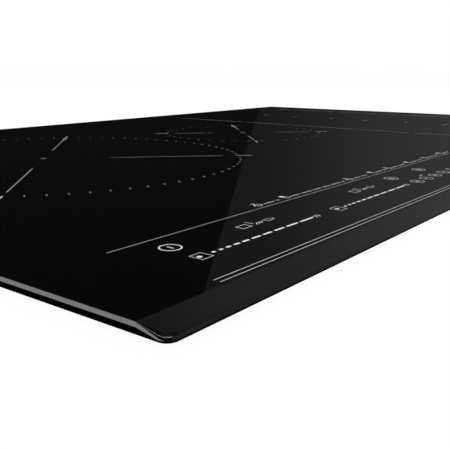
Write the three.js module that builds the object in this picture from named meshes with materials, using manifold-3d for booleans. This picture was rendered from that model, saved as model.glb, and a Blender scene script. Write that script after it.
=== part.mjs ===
// Built-in electric induction cooktop, 80 cm wide, with two round zones and one long flex zone.
// Millimetres, X to the right, Y to the back, Z up. Origin under the middle of the tray.
import * as THREE from 'three';
import { mergeVertices } from 'three/addons/utils/BufferGeometryUtils.js';
import Module from 'manifold-3d';

const wasm = await Module();
wasm.setup();

// Driving dimensions
const fit = {
  clearance: 0.3,
  overrun: 2,
};

const plate = {
  width: 800,
  depth: 510,
  thickness: 4,
  top: 57,
  cornerRadius: 4,
  groundBand: 1.63,
  lowerBevelInset: 0.4,
  arris: 0.1,
  facetWidth: 11.7,
  facetDrop: 1.09,
  frontBevelInset: 0.45,
  frontBevelBottom: 2.05,
  frontLandBottom: 3.05,
  groundRunOut: 7.4,
  landRunOut: 9.4,
  bevelRunOut: 9.9,
};
const plateUnderside = plate.top - plate.thickness;
const facetStart = plate.facetWidth - plate.depth / 2;

const gasket = { inset: 4, width: 6, thickness: 2, cornerRadius: 6 };

const tray = {
  sideOverhang: 30,
  endOverhang: 15,
  sheet: 1,
  cornerRadius: 7,
  swageDepth: 2,
  swageWidth: 14,
  swageInset: 42,
  swageEndInset: 50,
  exhaustPitch: 14,
  exhaustMargin: 18,
  exhaustWidth: 5,
  exhaustBottom: 9,
  exhaustTop: 31,
  screwAccessRadius: 6,
};
const trayWidth = plate.width - 2 * tray.sideOverhang;
const trayDepth = plate.depth - 2 * tray.endOverhang;
const insideHalfWidth = trayWidth / 2 - tray.sheet;
const insideHalfDepth = trayDepth / 2 - tray.sheet;

const frame = {
  flangeOverhang: 2,
  flangeWidth: 12,
  sheet: 1.2,
  legHeight: 16,
  legCornerRadius: 6,
  tabMargin: 2.4,
  tabWidth: 24,
  tabDrop: 14,
  nutRadius: 5.5,
  nutHeight: 5,
};
const bead = { inset: 2, width: 8, thickness: 1.5 };
const flangeTop = plateUnderside - bead.thickness;
const flangeBottom = flangeTop - frame.sheet;
const frameBottom = flangeTop - frame.legHeight;
const trayTop = flangeBottom - fit.clearance;
const legHalfWidth = insideHalfWidth - fit.clearance - frame.sheet;
const legHalfDepth = insideHalfDepth - fit.clearance - frame.sheet;

// Touch control under the front strip
const control = {
  sideGap: 9.5,
  frontGap: 1.5,
  carrierDepth: 52,
  wall: 1.5,
  floor: 1.5,
  boardSideGap: 2.5,
  boardEndGap: 1.5,
  boardThickness: 1.6,
  ribThickness: 2,
  ribCount: 8,
  legRadius: 5,
  legCount: 4,
  legShare: 0.94,
  guideSideInset: 1,
  guideEndInset: 7,
  guideHeight: 6.4,
  sliderLength: 78,
  sliderWidth: 5,
  sliderAhead: 9,
  sliderShares: [-0.4242, -0.2826, 0.2826, 0.4242],
  keyRadius: 4.5,
  keyBehind: 7.5,
  keyShares: [-0.4844, -0.2103, -0.1508, -0.0283, 0.0283, 0.1508, 0.2103, 0.4844],
};
const carrierWidth = 2 * (legHalfWidth - control.sideGap);
const controlY = control.frontGap + control.carrierDepth / 2 - legHalfDepth;
const touchBoardWidth = carrierWidth - 2 * (control.wall + control.boardSideGap);
const touchBoardDepth = control.carrierDepth - 2 * (control.wall + control.boardEndGap);
const touchBoardTop = plateUnderside - control.guideHeight;
const touchBoardBottom = touchBoardTop - control.boardThickness;

const shelf = {
  sheet: 1.5,
  cornerRadius: 12,
  leadHoleRadius: 8,
  leadHoleOffset: 30,
  coilOverhang: 13,
  margin: 11,
  halfDepth: 124,
  flexMargin: 3,
};
const former = {
  floor: 2.5,
  rim: 2.5,
  hubRadius: 24,
  hubWall: 2.5,
  height: 10,
  ferriteLengthShare: 0.78,
  ferriteWidth: 12,
  ferriteCount: 8,
  smallFerriteCount: 6,
  flexHubWidth: 96,
  flexHubDepth: 22,
  flexHubRadius: 10,
  flexFerriteAcrossShare: 0.3,
};
const winding = { height: 7.2, bevel: 0.8, sideGap: 1.2 };
const mat = { thickness: 3, holeRadius: 11, inset: 1, cornerRadius: 20 };
const sensor = { footRadius: 9, footHeight: 2, stemRadius: 5, headRadius: 8, headHeight: 3, flexShare: 0.8 };
const formerTop = plateUnderside - mat.thickness;
const shelfTop = formerTop - former.height;
const shelfBottom = shelfTop - shelf.sheet;

// Zones as printed on the plate, and the gaps that leave room for the coil under each
const layout = {
  y: 32,
  largeShare: -0.28,
  middleShare: 0.024,
  flexShare: 0.298125,
  largeWallGap: 11,
  middleFlexGap: 39.3,
  flexWallGap: 24.5,
  flexBackGap: 33.5,
  flexControlGap: 14,
  flexCoilGap: 2.5,
  flexCount: 4,
  flexCornerRadius: 40,
};

function largeRoundZone() {
  const x = layout.largeShare * plate.width;
  return { x, y: layout.y, coilRadius: insideHalfWidth + x - layout.largeWallGap };
}

function longFlexZone() {
  const x = layout.flexShare * plate.width;
  const front = controlY + control.carrierDepth / 2 + layout.flexControlGap;
  const back = insideHalfDepth - layout.flexBackGap;
  const pitch = (back - front + layout.flexCoilGap) / layout.flexCount;
  const coilDepth = pitch - layout.flexCoilGap;
  return {
    x,
    front,
    back,
    pitch,
    coilDepth,
    coilWidth: 2 * (insideHalfWidth - x - layout.flexWallGap),
    cornerRadius: Math.min(layout.flexCornerRadius, coilDepth / 2 - former.rim),
  };
}

function middleRoundZone(flex) {
  const x = layout.middleShare * plate.width;
  const flexEdge = flex.x - flex.coilWidth / 2;
  return { x, y: layout.y, coilRadius: flexEdge - layout.middleFlexGap - x };
}

const largeZone = largeRoundZone();
const flexZone = longFlexZone();
const middleZone = middleRoundZone(flexZone);
const coilSplitRadius = 77;

const terminal = {
  sideInset: 120,
  boxWidth: 90,
  boxDepth: 40,
  boxWall: 2,
  boxTopGap: 0.5,
  blockSideGap: 8,
  blockDepth: 18,
  blockHeight: 16,
  wellCount: 6,
  wellRadius: 3.2,
  wellDepth: 9,
  coverInset: 6,
  coverRise: 1.6,
  coverThickness: 1.6,
  coverBottom: 5.6,
  hingeRadius: 1.5,
  pinRadius: 0.8,
  pinReach: 3.5,
  lugThickness: 3,
  coverLap: 2,
  tabWidth: 12,
  tabHeight: 4,
};
const terminalX = trayWidth / 2 - terminal.sideInset;
const terminalFront = insideHalfDepth - terminal.boxDepth;
const terminalTop = frameBottom - terminal.boxTopGap;
const coverWidth = terminal.boxWidth - 2 * terminal.coverInset;

const gland = {
  boxGap: 14,
  frameGap: 4.5,
  bore: 5.5,
  bodyRadius: 8,
  flangeRadius: 11,
  flangeThickness: 2.4,
  inside: 14,
  nutThickness: 5,
  nutRadius: 11,
};
const glandX = terminalX - terminal.boxWidth / 2 - gland.boxGap - gland.nutRadius;
const glandZ = frameBottom - gland.frameGap - gland.nutRadius;

const fan = {
  behindBoard: 25,
  height: 26,
  wall: 1.5,
  tongueAngle: 150,
  sweep: 300,
  tongueRadius: 41,
  scrollRadius: 54,
  outletReach: 45,
  outletFloor: 20.5,
  inletRadius: 29,
  statorRadius: 9,
  statorDrop: 5,
  shaftRadius: 1.5,
  shaftDrop: 16,
  supportRadius: 5,
  supportOffset: 30,
  grilleRings: 3,
  grilleArcs: 4,
  grilleInner: 9,
  grillePitch: 8.5,
  grilleWidth: 4,
  grilleArcShare: 0.78,
};
const rotor = {
  radius: 36,
  hubRadius: 13,
  hubWall: 1.5,
  hubBottom: 6,
  sleeveRadius: 3.5,
  plateThickness: 1.5,
  bladeCount: 9,
  bladeThickness: 1.2,
  bladeInner: 12,
  bladeSweep: 38,
  bladeBottom: 5,
  ringInner: 30,
  ringThickness: 1.2,
  topGap: 2.5,
};
const fanX = fan.scrollRadius;

const board = {
  depth: 180,
  thickness: 1.6,
  fanGap: 1,
  swageGap: 9,
  terminalGap: 37,
  cornerRadius: 3,
  carrierMargin: 12,
  carrierFloor: 2,
  footHeight: 6,
  footRadius: 3.5,
  footInset: 7,
  postRadius: 5,
};
const carrierInner = fanX + fan.outletReach + board.fanGap;
const carrierOuter = trayWidth / 2 - tray.swageInset - tray.swageWidth / 2 - board.swageGap;
const boardX = (carrierInner + carrierOuter) / 2;
const boardY = terminalFront - board.terminalGap - board.depth / 2 - board.carrierMargin;
const boardWidth = carrierOuter - carrierInner - 2 * board.carrierMargin;
const boardBottom = tray.sheet + board.carrierFloor + board.footHeight;
const boardTop = boardBottom + board.thickness;
const fanY = boardY + fan.behindBoard;

const sink = { endMargin: 19, depth: 36, base: 4, airGap: 4.9, finCount: 9, finThickness: 1.4, towardsFan: 13 };
const capacitor = { width: 58, depth: 30, airGap: 3.9, cornerRadius: 4, acrossShare: 0.235, ahead: 10 };
const choke = { ringRadius: 14, tubeRadius: 7, acrossShare: -0.22, ahead: 30 };

const clamp = {
  wallInset: 16,
  endInset: 100,
  headRadius: 4.5,
  headBottom: 2,
  headHeight: 4,
  shankRadius: 2.2,
  topGap: 1,
  travel: 12,
  armLength: 34,
  armWidth: 15,
  armThickness: 2,
  clawHeight: 5,
  clawThickness: 2,
  windowMargin: 2.5,
  socketRadius: 2.2,
  socketDepth: 2.5,
};
const clampX = trayWidth / 2 - clamp.wallInset;
const clampY = trayDepth / 2 - clamp.endInset;
const clampReach = Math.hypot(clamp.armLength, clamp.armWidth / 2) + clamp.windowMargin;

// How round the curves are
const steps = {
  corner: 2,
  plateCorner: 8,
  large: 40,
  medium: 26,
  small: 16,
  tiny: 10,
  arc: 3,
  blade: 3,
  scroll: 22,
  tube: 8,
  hex: 6,
};

// Finishes
const finishes = {
  glass: { color: 0x0c0c0e, roughness: 0.06, metalness: 0 },
  foam: { color: 0x1b1b1c, roughness: 0.95, metalness: 0 },
  silicone: { color: 0x1e1f20, roughness: 0.6, metalness: 0 },
  zincSteel: { color: 0xa4a8aa, roughness: 0.42, metalness: 0.9 },
  aluminium: { color: 0xc3c6c8, roughness: 0.38, metalness: 0.95 },
  blackPlastic: { color: 0x1f2022, roughness: 0.55, metalness: 0 },
  ivoryPlastic: { color: 0xd9d4c6, roughness: 0.5, metalness: 0 },
  copper: { color: 0xb56a3c, roughness: 0.35, metalness: 0.9 },
  mineralMat: { color: 0xe4e0d4, roughness: 0.95, metalness: 0 },
  greenBoard: { color: 0x1f5a38, roughness: 0.45, metalness: 0 },
  whiteGuide: { color: 0xe9e9e6, roughness: 0.4, metalness: 0 },
  yellowFilm: { color: 0xc9a233, roughness: 0.5, metalness: 0 },
  steelScrew: { color: 0x8e9194, roughness: 0.35, metalness: 0.95 },
  sensorSteel: { color: 0x77797b, roughness: 0.4, metalness: 0.8 },
};

const bothSides = [-1, 1];
const leftRight = [{ name: 'left', side: -1 }, { name: 'right', side: 1 }];

// Basic solids

function withoutFlatTriangles(index) {
  const kept = [];
  for (let i = 0; i < index.length; i += 3) {
    const [a, b, c] = [index[i], index[i + 1], index[i + 2]];
    if (a !== b && b !== c && c !== a) kept.push(a, b, c);
  }
  return kept;
}

function signedVolume(position, index) {
  const [a, b, c] = [new THREE.Vector3(), new THREE.Vector3(), new THREE.Vector3()];
  let volume = 0;
  for (let i = 0; i < index.length; i += 3) {
    a.fromArray(position, index[i] * 3);
    b.fromArray(position, index[i + 1] * 3);
    c.fromArray(position, index[i + 2] * 3);
    volume += a.dot(b.cross(c));
  }
  return volume;
}

function solidOf(geometry) {
  const bare = geometry.clone();
  bare.deleteAttribute('normal');
  bare.deleteAttribute('uv');
  const welded = mergeVertices(bare);
  const position = welded.attributes.position.array;
  const triangles = withoutFlatTriangles(welded.index.array);
  if (signedVolume(position, triangles) < 0) triangles.reverse();
  return new wasm.Manifold(new wasm.Mesh({
    numProp: 3,
    vertProperties: new Float32Array(position),
    triVerts: new Uint32Array(triangles),
  }));
}

function joined(solids) {
  return solids.reduce((whole, part) => whole.add(part));
}

function cut(solid, tools) {
  return tools.reduce((whole, tool) => whole.subtract(tool), solid);
}

function slab(shape, bottom, top, curveSteps = steps.corner) {
  const geometry = new THREE.ExtrudeGeometry(shape, {
    depth: top - bottom,
    bevelEnabled: false,
    curveSegments: curveSteps,
  });
  geometry.translate(0, 0, bottom);
  return solidOf(geometry);
}

function block(x, y, z) {
  const geometry = new THREE.BoxGeometry(x[1] - x[0], y[1] - y[0], z[1] - z[0]);
  geometry.translate((x[0] + x[1]) / 2, (y[0] + y[1]) / 2, (z[0] + z[1]) / 2);
  return solidOf(geometry);
}

function spanAround(centre, width) {
  return [centre - width / 2, centre + width / 2];
}

function rod(radius, bottom, top, x, y, around = steps.tiny) {
  const geometry = new THREE.CylinderGeometry(radius, radius, top - bottom, around);
  geometry.rotateX(Math.PI / 2);
  geometry.translate(x, y, (top + bottom) / 2);
  return solidOf(geometry);
}

function rodAlongX(radius, left, right, y, z, around = steps.tiny) {
  const geometry = new THREE.CylinderGeometry(radius, radius, right - left, around);
  geometry.rotateZ(Math.PI / 2);
  geometry.translate((left + right) / 2, y, z);
  return solidOf(geometry);
}

function rodAlongY(radius, front, back, x, z, around = steps.small) {
  const geometry = new THREE.CylinderGeometry(radius, radius, back - front, around);
  geometry.translate(x, (front + back) / 2, z);
  return solidOf(geometry);
}

function turned(profile, x, y, around) {
  const points = profile.map(([radius, height]) => new THREE.Vector2(radius, height));
  const geometry = new THREE.LatheGeometry([...points, points[0]], around);
  geometry.rotateX(Math.PI / 2);
  geometry.translate(x, y, 0);
  return solidOf(geometry);
}

function alongX(outline, left, right) {
  const shape = new THREE.Shape(outline.map(([y, z]) => new THREE.Vector2(y, z)));
  const geometry = new THREE.ExtrudeGeometry(shape, { depth: right - left, bevelEnabled: false });
  const toX = new THREE.Matrix4().makeBasis(
    new THREE.Vector3(0, 1, 0),
    new THREE.Vector3(0, 0, 1),
    new THREE.Vector3(1, 0, 0),
  );
  geometry.applyMatrix4(toX);
  geometry.translate(left, 0, 0);
  return solidOf(geometry);
}

// Outlines

function roundedOutline(width, depth, radius, x = 0, y = 0) {
  const [right, back] = [width / 2, depth / 2];
  const shape = new THREE.Shape();
  shape.moveTo(x - right + radius, y - back);
  shape.lineTo(x + right - radius, y - back);
  shape.absarc(x + right - radius, y - back + radius, radius, -Math.PI / 2, 0);
  shape.lineTo(x + right, y + back - radius);
  shape.absarc(x + right - radius, y + back - radius, radius, 0, Math.PI / 2);
  shape.lineTo(x - right + radius, y + back);
  shape.absarc(x - right + radius, y + back - radius, radius, Math.PI / 2, Math.PI);
  shape.lineTo(x - right, y - back + radius);
  shape.absarc(x - right + radius, y - back + radius, radius, Math.PI, Math.PI * 1.5);
  return shape;
}

function roundHole(radius, x, y) {
  return new THREE.Path().absarc(x, y, radius, 0, Math.PI * 2);
}

function ringOutline(outer, inner) {
  outer.holes.push(inner);
  return outer;
}

function frameOutline(width, depth, wall, radius) {
  const innerRadius = Math.max(radius - wall, radius / 3);
  return ringOutline(
    roundedOutline(width, depth, radius),
    roundedOutline(width - 2 * wall, depth - 2 * wall, innerRadius),
  );
}

function turnedPoint(radius, angle, x = 0, y = 0) {
  return new THREE.Vector2(x + radius * Math.cos(angle), y + radius * Math.sin(angle));
}

function degrees(angle) {
  return THREE.MathUtils.degToRad(angle);
}

// Cooking surface

function plateOutline(inset) {
  const outline = roundedOutline(
    plate.width - 2 * inset,
    plate.depth - 2 * inset,
    plate.cornerRadius - inset,
  );
  const points = outline.getPoints(steps.plateCorner);
  if (points[0].distanceTo(points[points.length - 1]) < fit.clearance) points.pop();
  return points.flatMap((point, i) => {
    const next = points[(i + 1) % points.length];
    const crossesFacetStart = (point.y - facetStart) * (next.y - facetStart) < 0;
    return crossesFacetStart ? [point, new THREE.Vector2(point.x, facetStart)] : [point];
  });
}

function plateLoop(inset, height) {
  return plateOutline(inset).map((point) => [point.x, point.y, height]);
}

// 0 where the facet starts, 1 once an edge has run out to its place along the front
function runOutShare(y, runOut) {
  return THREE.MathUtils.clamp((facetStart - y) / runOut, 0, 1);
}

// An edge line of the plate, which drops from one depth on three sides to another along the front
function fallingLoop(depth, frontDepth, runOut) {
  return plateOutline(0).map(({ x, y }) => [
    x,
    y,
    plate.top - THREE.MathUtils.lerp(depth, frontDepth, runOutShare(y, runOut)),
  ]);
}

// The top edge line before the facet is cut, drawn in along the front by the bevel's slope
function topLoop(frontInset) {
  const outer = plateOutline(plate.arris);
  const inner = plateOutline(frontInset);
  return outer.map((point, i) => {
    const { x, y } = point.clone().lerp(inner[i], runOutShare(point.y, plate.bevelRunOut));
    return [x, y, plate.top];
  });
}

function lofted(loops) {
  const count = loops[0].length;
  const index = [];
  for (let level = 0; level + 1 < loops.length; level += 1) {
    for (let i = 0; i < count; i += 1) {
      const next = (i + 1) % count;
      const [a, b] = [level * count + i, level * count + next];
      index.push(a, b, b + count, a, b + count, a + count);
    }
  }
  const last = (loops.length - 1) * count;
  for (let i = 1; i + 1 < count; i += 1) {
    index.push(0, i + 1, i, last, last + i, last + i + 1);
  }
  const geometry = new THREE.BufferGeometry();
  geometry.setAttribute('position', new THREE.Float32BufferAttribute(loops.flat(2), 3));
  geometry.setIndex(index);
  return solidOf(geometry);
}

function glassPlate() {
  const bevelHeight = plate.frontBevelBottom - plate.facetDrop;
  const topInset = (plate.frontBevelInset * plate.frontBevelBottom) / bevelHeight;
  const landCorner = plate.frontLandBottom + plate.arris;
  const body = lofted([
    plateLoop(plate.lowerBevelInset, plateUnderside),
    fallingLoop(plate.groundBand, landCorner, plate.groundRunOut),
    fallingLoop(plate.arris, plate.frontLandBottom, plate.landRunOut),
    fallingLoop(plate.arris / 2, plate.frontBevelBottom, plate.bevelRunOut),
    topLoop(topInset),
  ]);
  const front = -plate.depth / 2;
  const slope = plate.facetDrop / plate.facetWidth;
  const facet = alongX([
    [front + plate.facetWidth, plate.top],
    [front + plate.facetWidth, plate.top + fit.overrun],
    [front - fit.overrun, plate.top + fit.overrun],
    [front - fit.overrun, plate.top - plate.facetDrop - slope * fit.overrun],
  ], -plate.width / 2 - fit.overrun, plate.width / 2 + fit.overrun);
  return body.subtract(facet);
}

function rimGasket() {
  const outline = frameOutline(
    plate.width - 2 * gasket.inset,
    plate.depth - 2 * gasket.inset,
    gasket.width,
    gasket.cornerRadius,
  );
  return slab(outline, plateUnderside - gasket.thickness, plateUnderside);
}

function flangeSize(inset) {
  const grow = 2 * (frame.flangeOverhang - inset);
  return [trayWidth + grow, trayDepth + grow];
}

function adhesiveBead() {
  const [width, depth] = flangeSize(bead.inset);
  return slab(frameOutline(width, depth, bead.width, tray.cornerRadius), flangeTop, plateUnderside);
}

// Support frame: a flange glued under the plate and a leg inside the tray wall

function clampTab(side, end) {
  const z = flangeBottom - frame.tabDrop;
  const outer = legHalfWidth + frame.sheet / 2;
  const inner = clampX - frame.nutRadius - frame.tabMargin;
  const x = [side * outer, side * inner].sort((a, b) => a - b);
  const y = spanAround(end * clampY, frame.tabWidth);
  const tab = block(x, y, [z, z + frame.sheet]);
  const centre = [side * clampX, end * clampY];
  const nut = rod(frame.nutRadius, z - frame.nutHeight, z, ...centre, steps.hex);
  const bore = clamp.shankRadius + fit.clearance;
  const hole = rod(bore, z - frame.nutHeight - fit.overrun, z + fit.overrun, ...centre);
  return cut(joined([tab, nut]), [hole]);
}

function supportFrame() {
  const [width, depth] = flangeSize(0);
  const flange = slab(
    frameOutline(width, depth, frame.flangeWidth, tray.cornerRadius),
    flangeBottom,
    flangeTop,
  );
  const inset = 2 * (tray.sheet + fit.clearance);
  const leg = slab(
    frameOutline(trayWidth - inset, trayDepth - inset, frame.sheet, frame.legCornerRadius),
    frameBottom,
    flangeTop - frame.sheet / 2,
  );
  const tabs = bothSides.flatMap((side) => bothSides.map((end) => clampTab(side, end)));
  return joined([flange, leg, ...tabs]);
}

// Tray

function arcSlot(x, y, radius, width, from, sweep) {
  const [inner, outer] = [radius - width / 2, radius + width / 2];
  const points = [];
  for (let i = 0; i <= steps.arc; i += 1) points.push(turnedPoint(outer, from + (sweep * i) / steps.arc, x, y));
  for (let i = steps.arc; i >= 0; i -= 1) points.push(turnedPoint(inner, from + (sweep * i) / steps.arc, x, y));
  return new THREE.Path(points);
}

function fanGrille(side) {
  const slots = [];
  for (let ring = 0; ring < fan.grilleRings; ring += 1) {
    const radius = fan.grilleInner + ring * fan.grillePitch;
    for (let arc = 0; arc < fan.grilleArcs; arc += 1) {
      const turn = (Math.PI * 2) / fan.grilleArcs;
      const from = turn * (arc + ring / 2);
      slots.push(arcSlot(side * fanX, fanY, radius, fan.grilleWidth, from, turn * fan.grilleArcShare));
    }
  }
  return slots;
}

function trayFloor() {
  const floor = roundedOutline(trayWidth, trayDepth, tray.cornerRadius);
  const access = bothSides.flatMap((side) => bothSides.map(
    (end) => roundHole(tray.screwAccessRadius, side * clampX, end * clampY),
  ));
  floor.holes.push(...bothSides.flatMap(fanGrille), ...access);
  return slab(floor, 0, tray.sheet);
}

function swage(side, bottom, top) {
  const inset = bottom === 0 ? tray.sheet : 0;
  const outline = roundedOutline(
    tray.swageWidth - 2 * inset,
    trayDepth - 2 * (tray.swageEndInset + inset),
    tray.swageWidth / 2 - inset,
    side * (trayWidth / 2 - tray.swageInset),
    0,
  );
  return slab(outline, bottom, top);
}

function sideLouvres() {
  const halfSpan = clampY - clampReach - tray.exhaustMargin;
  const count = Math.floor((2 * halfSpan) / tray.exhaustPitch);
  const half = trayWidth / 2 + fit.overrun;
  const slots = [];
  for (let i = 0; i < count; i += 1) {
    const y = (i - (count - 1) / 2) * tray.exhaustPitch;
    slots.push(block([-half, half], spanAround(y, tray.exhaustWidth), [tray.exhaustBottom, tray.exhaustTop]));
  }
  return slots;
}

function clampWindow(side, end) {
  const wall = (side * trayWidth) / 2;
  const behind = end * (clampY + clamp.armWidth / 2 + clamp.windowMargin);
  const ahead = end * (clampY - clampReach);
  const y = [behind, ahead].sort((a, b) => a - b);
  const armBottom = clamp.headBottom + clamp.headHeight;
  const armTop = armBottom + clamp.armThickness + clamp.clawHeight;
  const z = [armBottom - clamp.windowMargin, armTop + clamp.travel + clamp.windowMargin];
  return block([wall - 2 * fit.overrun, wall + 2 * fit.overrun], y, z);
}

function bottomTray() {
  const wall = slab(frameOutline(trayWidth, trayDepth, tray.sheet, tray.cornerRadius), 0, trayTop);
  const swageRaised = bothSides.map((side) => swage(side, tray.sheet / 2, tray.swageDepth + tray.sheet));
  const swageHollow = bothSides.map((side) => swage(side, 0, tray.swageDepth));
  const windows = bothSides.flatMap((side) => bothSides.map((end) => clampWindow(side, end)));
  const through = spanAround(trayDepth / 2, 4 * fit.overrun);
  const low = tray.sheet + terminal.boxWall;
  const lugWidth = coverWidth + 2 * (terminal.lugThickness + 2 * fit.clearance);
  const opening = joined([
    block(
      spanAround(terminalX, coverWidth - 2 * terminal.coverLap),
      through,
      [low, terminalTop - terminal.boxWall],
    ),
    block(
      spanAround(terminalX, lugWidth),
      through,
      [low, terminal.coverBottom + terminal.hingeRadius + fit.clearance],
    ),
  ]);
  const entry = rodAlongY(gland.bodyRadius + fit.clearance, ...through, glandX, glandZ);
  return cut(joined([trayFloor(), wall, ...swageRaised]), [
    ...swageHollow,
    ...sideLouvres(),
    ...windows,
    opening,
    entry,
  ]);
}

// Coil shelves

function coilShelf(x, y, zones) {
  const outline = roundedOutline(
    x[1] - x[0],
    y[1] - y[0],
    shelf.cornerRadius,
    (x[0] + x[1]) / 2,
    (y[0] + y[1]) / 2,
  );
  outline.holes.push(...zones.map((zone) => (
    roundHole(shelf.leadHoleRadius, zone.x + shelf.leadHoleOffset, zone.y))));
  return slab(outline, shelfBottom, shelfTop, steps.arc);
}

const flexCentres = Array.from({ length: layout.flexCount }, (_, i) => ({
  name: `flex_${i + 1}`,
  x: flexZone.x,
  y: flexZone.back - flexZone.coilDepth / 2 - i * flexZone.pitch,
}));

const shelfEdges = {
  leftX: [
    largeZone.x - largeZone.coilRadius + shelf.coilOverhang,
    middleZone.x + middleZone.coilRadius + shelf.margin,
  ],
  leftY: [largeZone.y - shelf.halfDepth, largeZone.y + shelf.halfDepth],
  rightX: [flexZone.x - flexZone.coilWidth / 2 - shelf.margin, flexZone.x + flexZone.coilWidth / 2],
  rightY: [
    flexZone.front - shelf.flexMargin,
    flexZone.back + shelf.flexMargin,
  ],
};

// Round coils

function ferriteWindow(zone, inner, outer, angle) {
  const middle = (inner + outer) / 2;
  const length = (outer - inner) * former.ferriteLengthShare;
  const height = former.floor + 2 * fit.overrun;
  const geometry = new THREE.BoxGeometry(length, former.ferriteWidth, height);
  geometry.translate(middle, 0, shelfTop + former.floor / 2);
  geometry.rotateZ(angle);
  geometry.translate(zone.x, zone.y, 0);
  return solidOf(geometry);
}

function roundFormer(zone, dividers, ferriteCount, around) {
  const outerRadius = zone.coilRadius;
  const floorTop = shelfTop + former.floor;
  const rimTop = formerTop;
  const hub = former.hubRadius;
  const profile = [
    [hub - former.hubWall, shelfTop],
    [hub - former.hubWall, rimTop],
    [hub, rimTop],
    [hub, floorTop],
  ];
  dividers.forEach((radius) => {
    const [inner, outer] = [radius - former.rim / 2, radius + former.rim / 2];
    profile.push([inner, floorTop], [inner, rimTop], [outer, rimTop], [outer, floorTop]);
  });
  const rim = outerRadius - former.rim;
  profile.push([rim, floorTop], [rim, rimTop], [outerRadius, rimTop], [outerRadius, shelfTop]);
  const body = turned(profile, zone.x, zone.y, around);
  const windows = [];
  for (let i = 0; i < ferriteCount; i += 1) {
    const angle = (Math.PI * 2 * i) / ferriteCount;
    windows.push(ferriteWindow(zone, hub + former.hubWall, outerRadius - 2 * former.rim, angle));
  }
  return cut(body, windows);
}

function roundWinding(zone, inner, outer, around) {
  const bottom = shelfTop + former.floor;
  const top = bottom + winding.height;
  const b = winding.bevel;
  return turned([
    [inner, bottom],
    [inner, top - b],
    [inner + b, top],
    [outer - b, top],
    [outer, top - b],
    [outer, bottom],
  ], zone.x, zone.y, around);
}

function roundMat(zone, radius) {
  const outline = new THREE.Shape();
  outline.absarc(zone.x, zone.y, radius, 0, Math.PI * 2);
  outline.holes.push(roundHole(mat.holeRadius, zone.x, zone.y));
  return slab(outline, formerTop, plateUnderside, steps.small);
}

// Flex zone coils

function flexFormer(zone) {
  const { coilWidth: width, coilDepth: depth, cornerRadius: radius } = flexZone;
  const floorTop = shelfTop + former.floor;
  const rimTop = formerTop;
  const outer = roundedOutline(width, depth, radius, zone.x, zone.y);
  const inner = roundedOutline(
    width - 2 * former.rim,
    depth - 2 * former.rim,
    radius - former.rim,
    zone.x,
    zone.y,
  );
  const rim = slab(ringOutline(outer, inner), shelfTop, rimTop);
  const wall = former.hubWall;
  const hub = roundedOutline(former.flexHubWidth, former.flexHubDepth, former.flexHubRadius, zone.x, zone.y);
  const bore = roundedOutline(
    former.flexHubWidth - 2 * wall,
    former.flexHubDepth - 2 * wall,
    former.flexHubRadius - wall,
    zone.x,
    zone.y,
  );
  const floor = roundedOutline(width - former.rim, depth - former.rim, radius - former.rim / 2, zone.x, zone.y);
  const hubBore = slab(bore, shelfTop - fit.overrun, rimTop + fit.overrun);
  const body = joined([rim, slab(floor, shelfTop, floorTop), slab(hub, shelfTop, rimTop)]);
  const pocketHeight = [shelfTop - fit.overrun, floorTop + fit.overrun];
  const sideBand = depth / 2 - former.rim - former.flexHubDepth / 2;
  const endBand = width / 2 - former.rim - former.flexHubWidth / 2;
  const pockets = bothSides.flatMap((side) => [
    block(
      spanAround(zone.x + side * former.flexFerriteAcrossShare * former.flexHubWidth, former.ferriteWidth),
      spanAround(zone.y + (side * (former.flexHubDepth + sideBand)) / 2, sideBand * former.ferriteLengthShare),
      pocketHeight,
    ),
    block(
      spanAround(zone.x + (side * (former.flexHubWidth + endBand)) / 2, endBand * former.ferriteLengthShare),
      spanAround(zone.y, former.ferriteWidth),
      pocketHeight,
    ),
  ]);
  return cut(body, [hubBore, ...pockets]);
}

function flexWinding(zone) {
  const inset = former.rim + winding.sideGap;
  const outer = roundedOutline(
    flexZone.coilWidth - 2 * inset,
    flexZone.coilDepth - 2 * inset,
    flexZone.cornerRadius - inset,
    zone.x,
    zone.y,
  );
  const grow = 2 * winding.sideGap;
  const inner = roundedOutline(
    former.flexHubWidth + grow,
    former.flexHubDepth + grow,
    former.flexHubRadius + winding.sideGap,
    zone.x,
    zone.y,
  );
  const bottom = shelfTop + former.floor;
  return slab(ringOutline(outer, inner), bottom, bottom + winding.height);
}

function flexMat() {
  const first = flexCentres[0];
  const last = flexCentres[flexCentres.length - 1];
  const depth = first.y - last.y + flexZone.coilDepth - 2 * mat.inset;
  const outline = roundedOutline(
    flexZone.coilWidth - 2 * mat.inset,
    depth,
    mat.cornerRadius,
    flexZone.x,
    (first.y + last.y) / 2,
  );
  const sensorHole = former.flexHubDepth / 2 - former.hubWall;
  outline.holes.push(...flexCentres.map((zone) => roundHole(sensorHole, zone.x, zone.y)));
  return slab(outline, formerTop, plateUnderside, steps.arc);
}

function temperatureSensor(zone, share = 1) {
  const foot = sensor.footRadius * share;
  const head = sensor.headRadius * share;
  return turned([
    [0, shelfTop],
    [foot, shelfTop],
    [foot, shelfTop + sensor.footHeight],
    [sensor.stemRadius * share, shelfTop + sensor.footHeight],
    [sensor.stemRadius * share, plateUnderside - sensor.headHeight],
    [head, plateUnderside - sensor.headHeight],
    [head, plateUnderside],
    [0, plateUnderside],
  ], zone.x, zone.y, steps.tiny);
}

// Touch control

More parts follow.
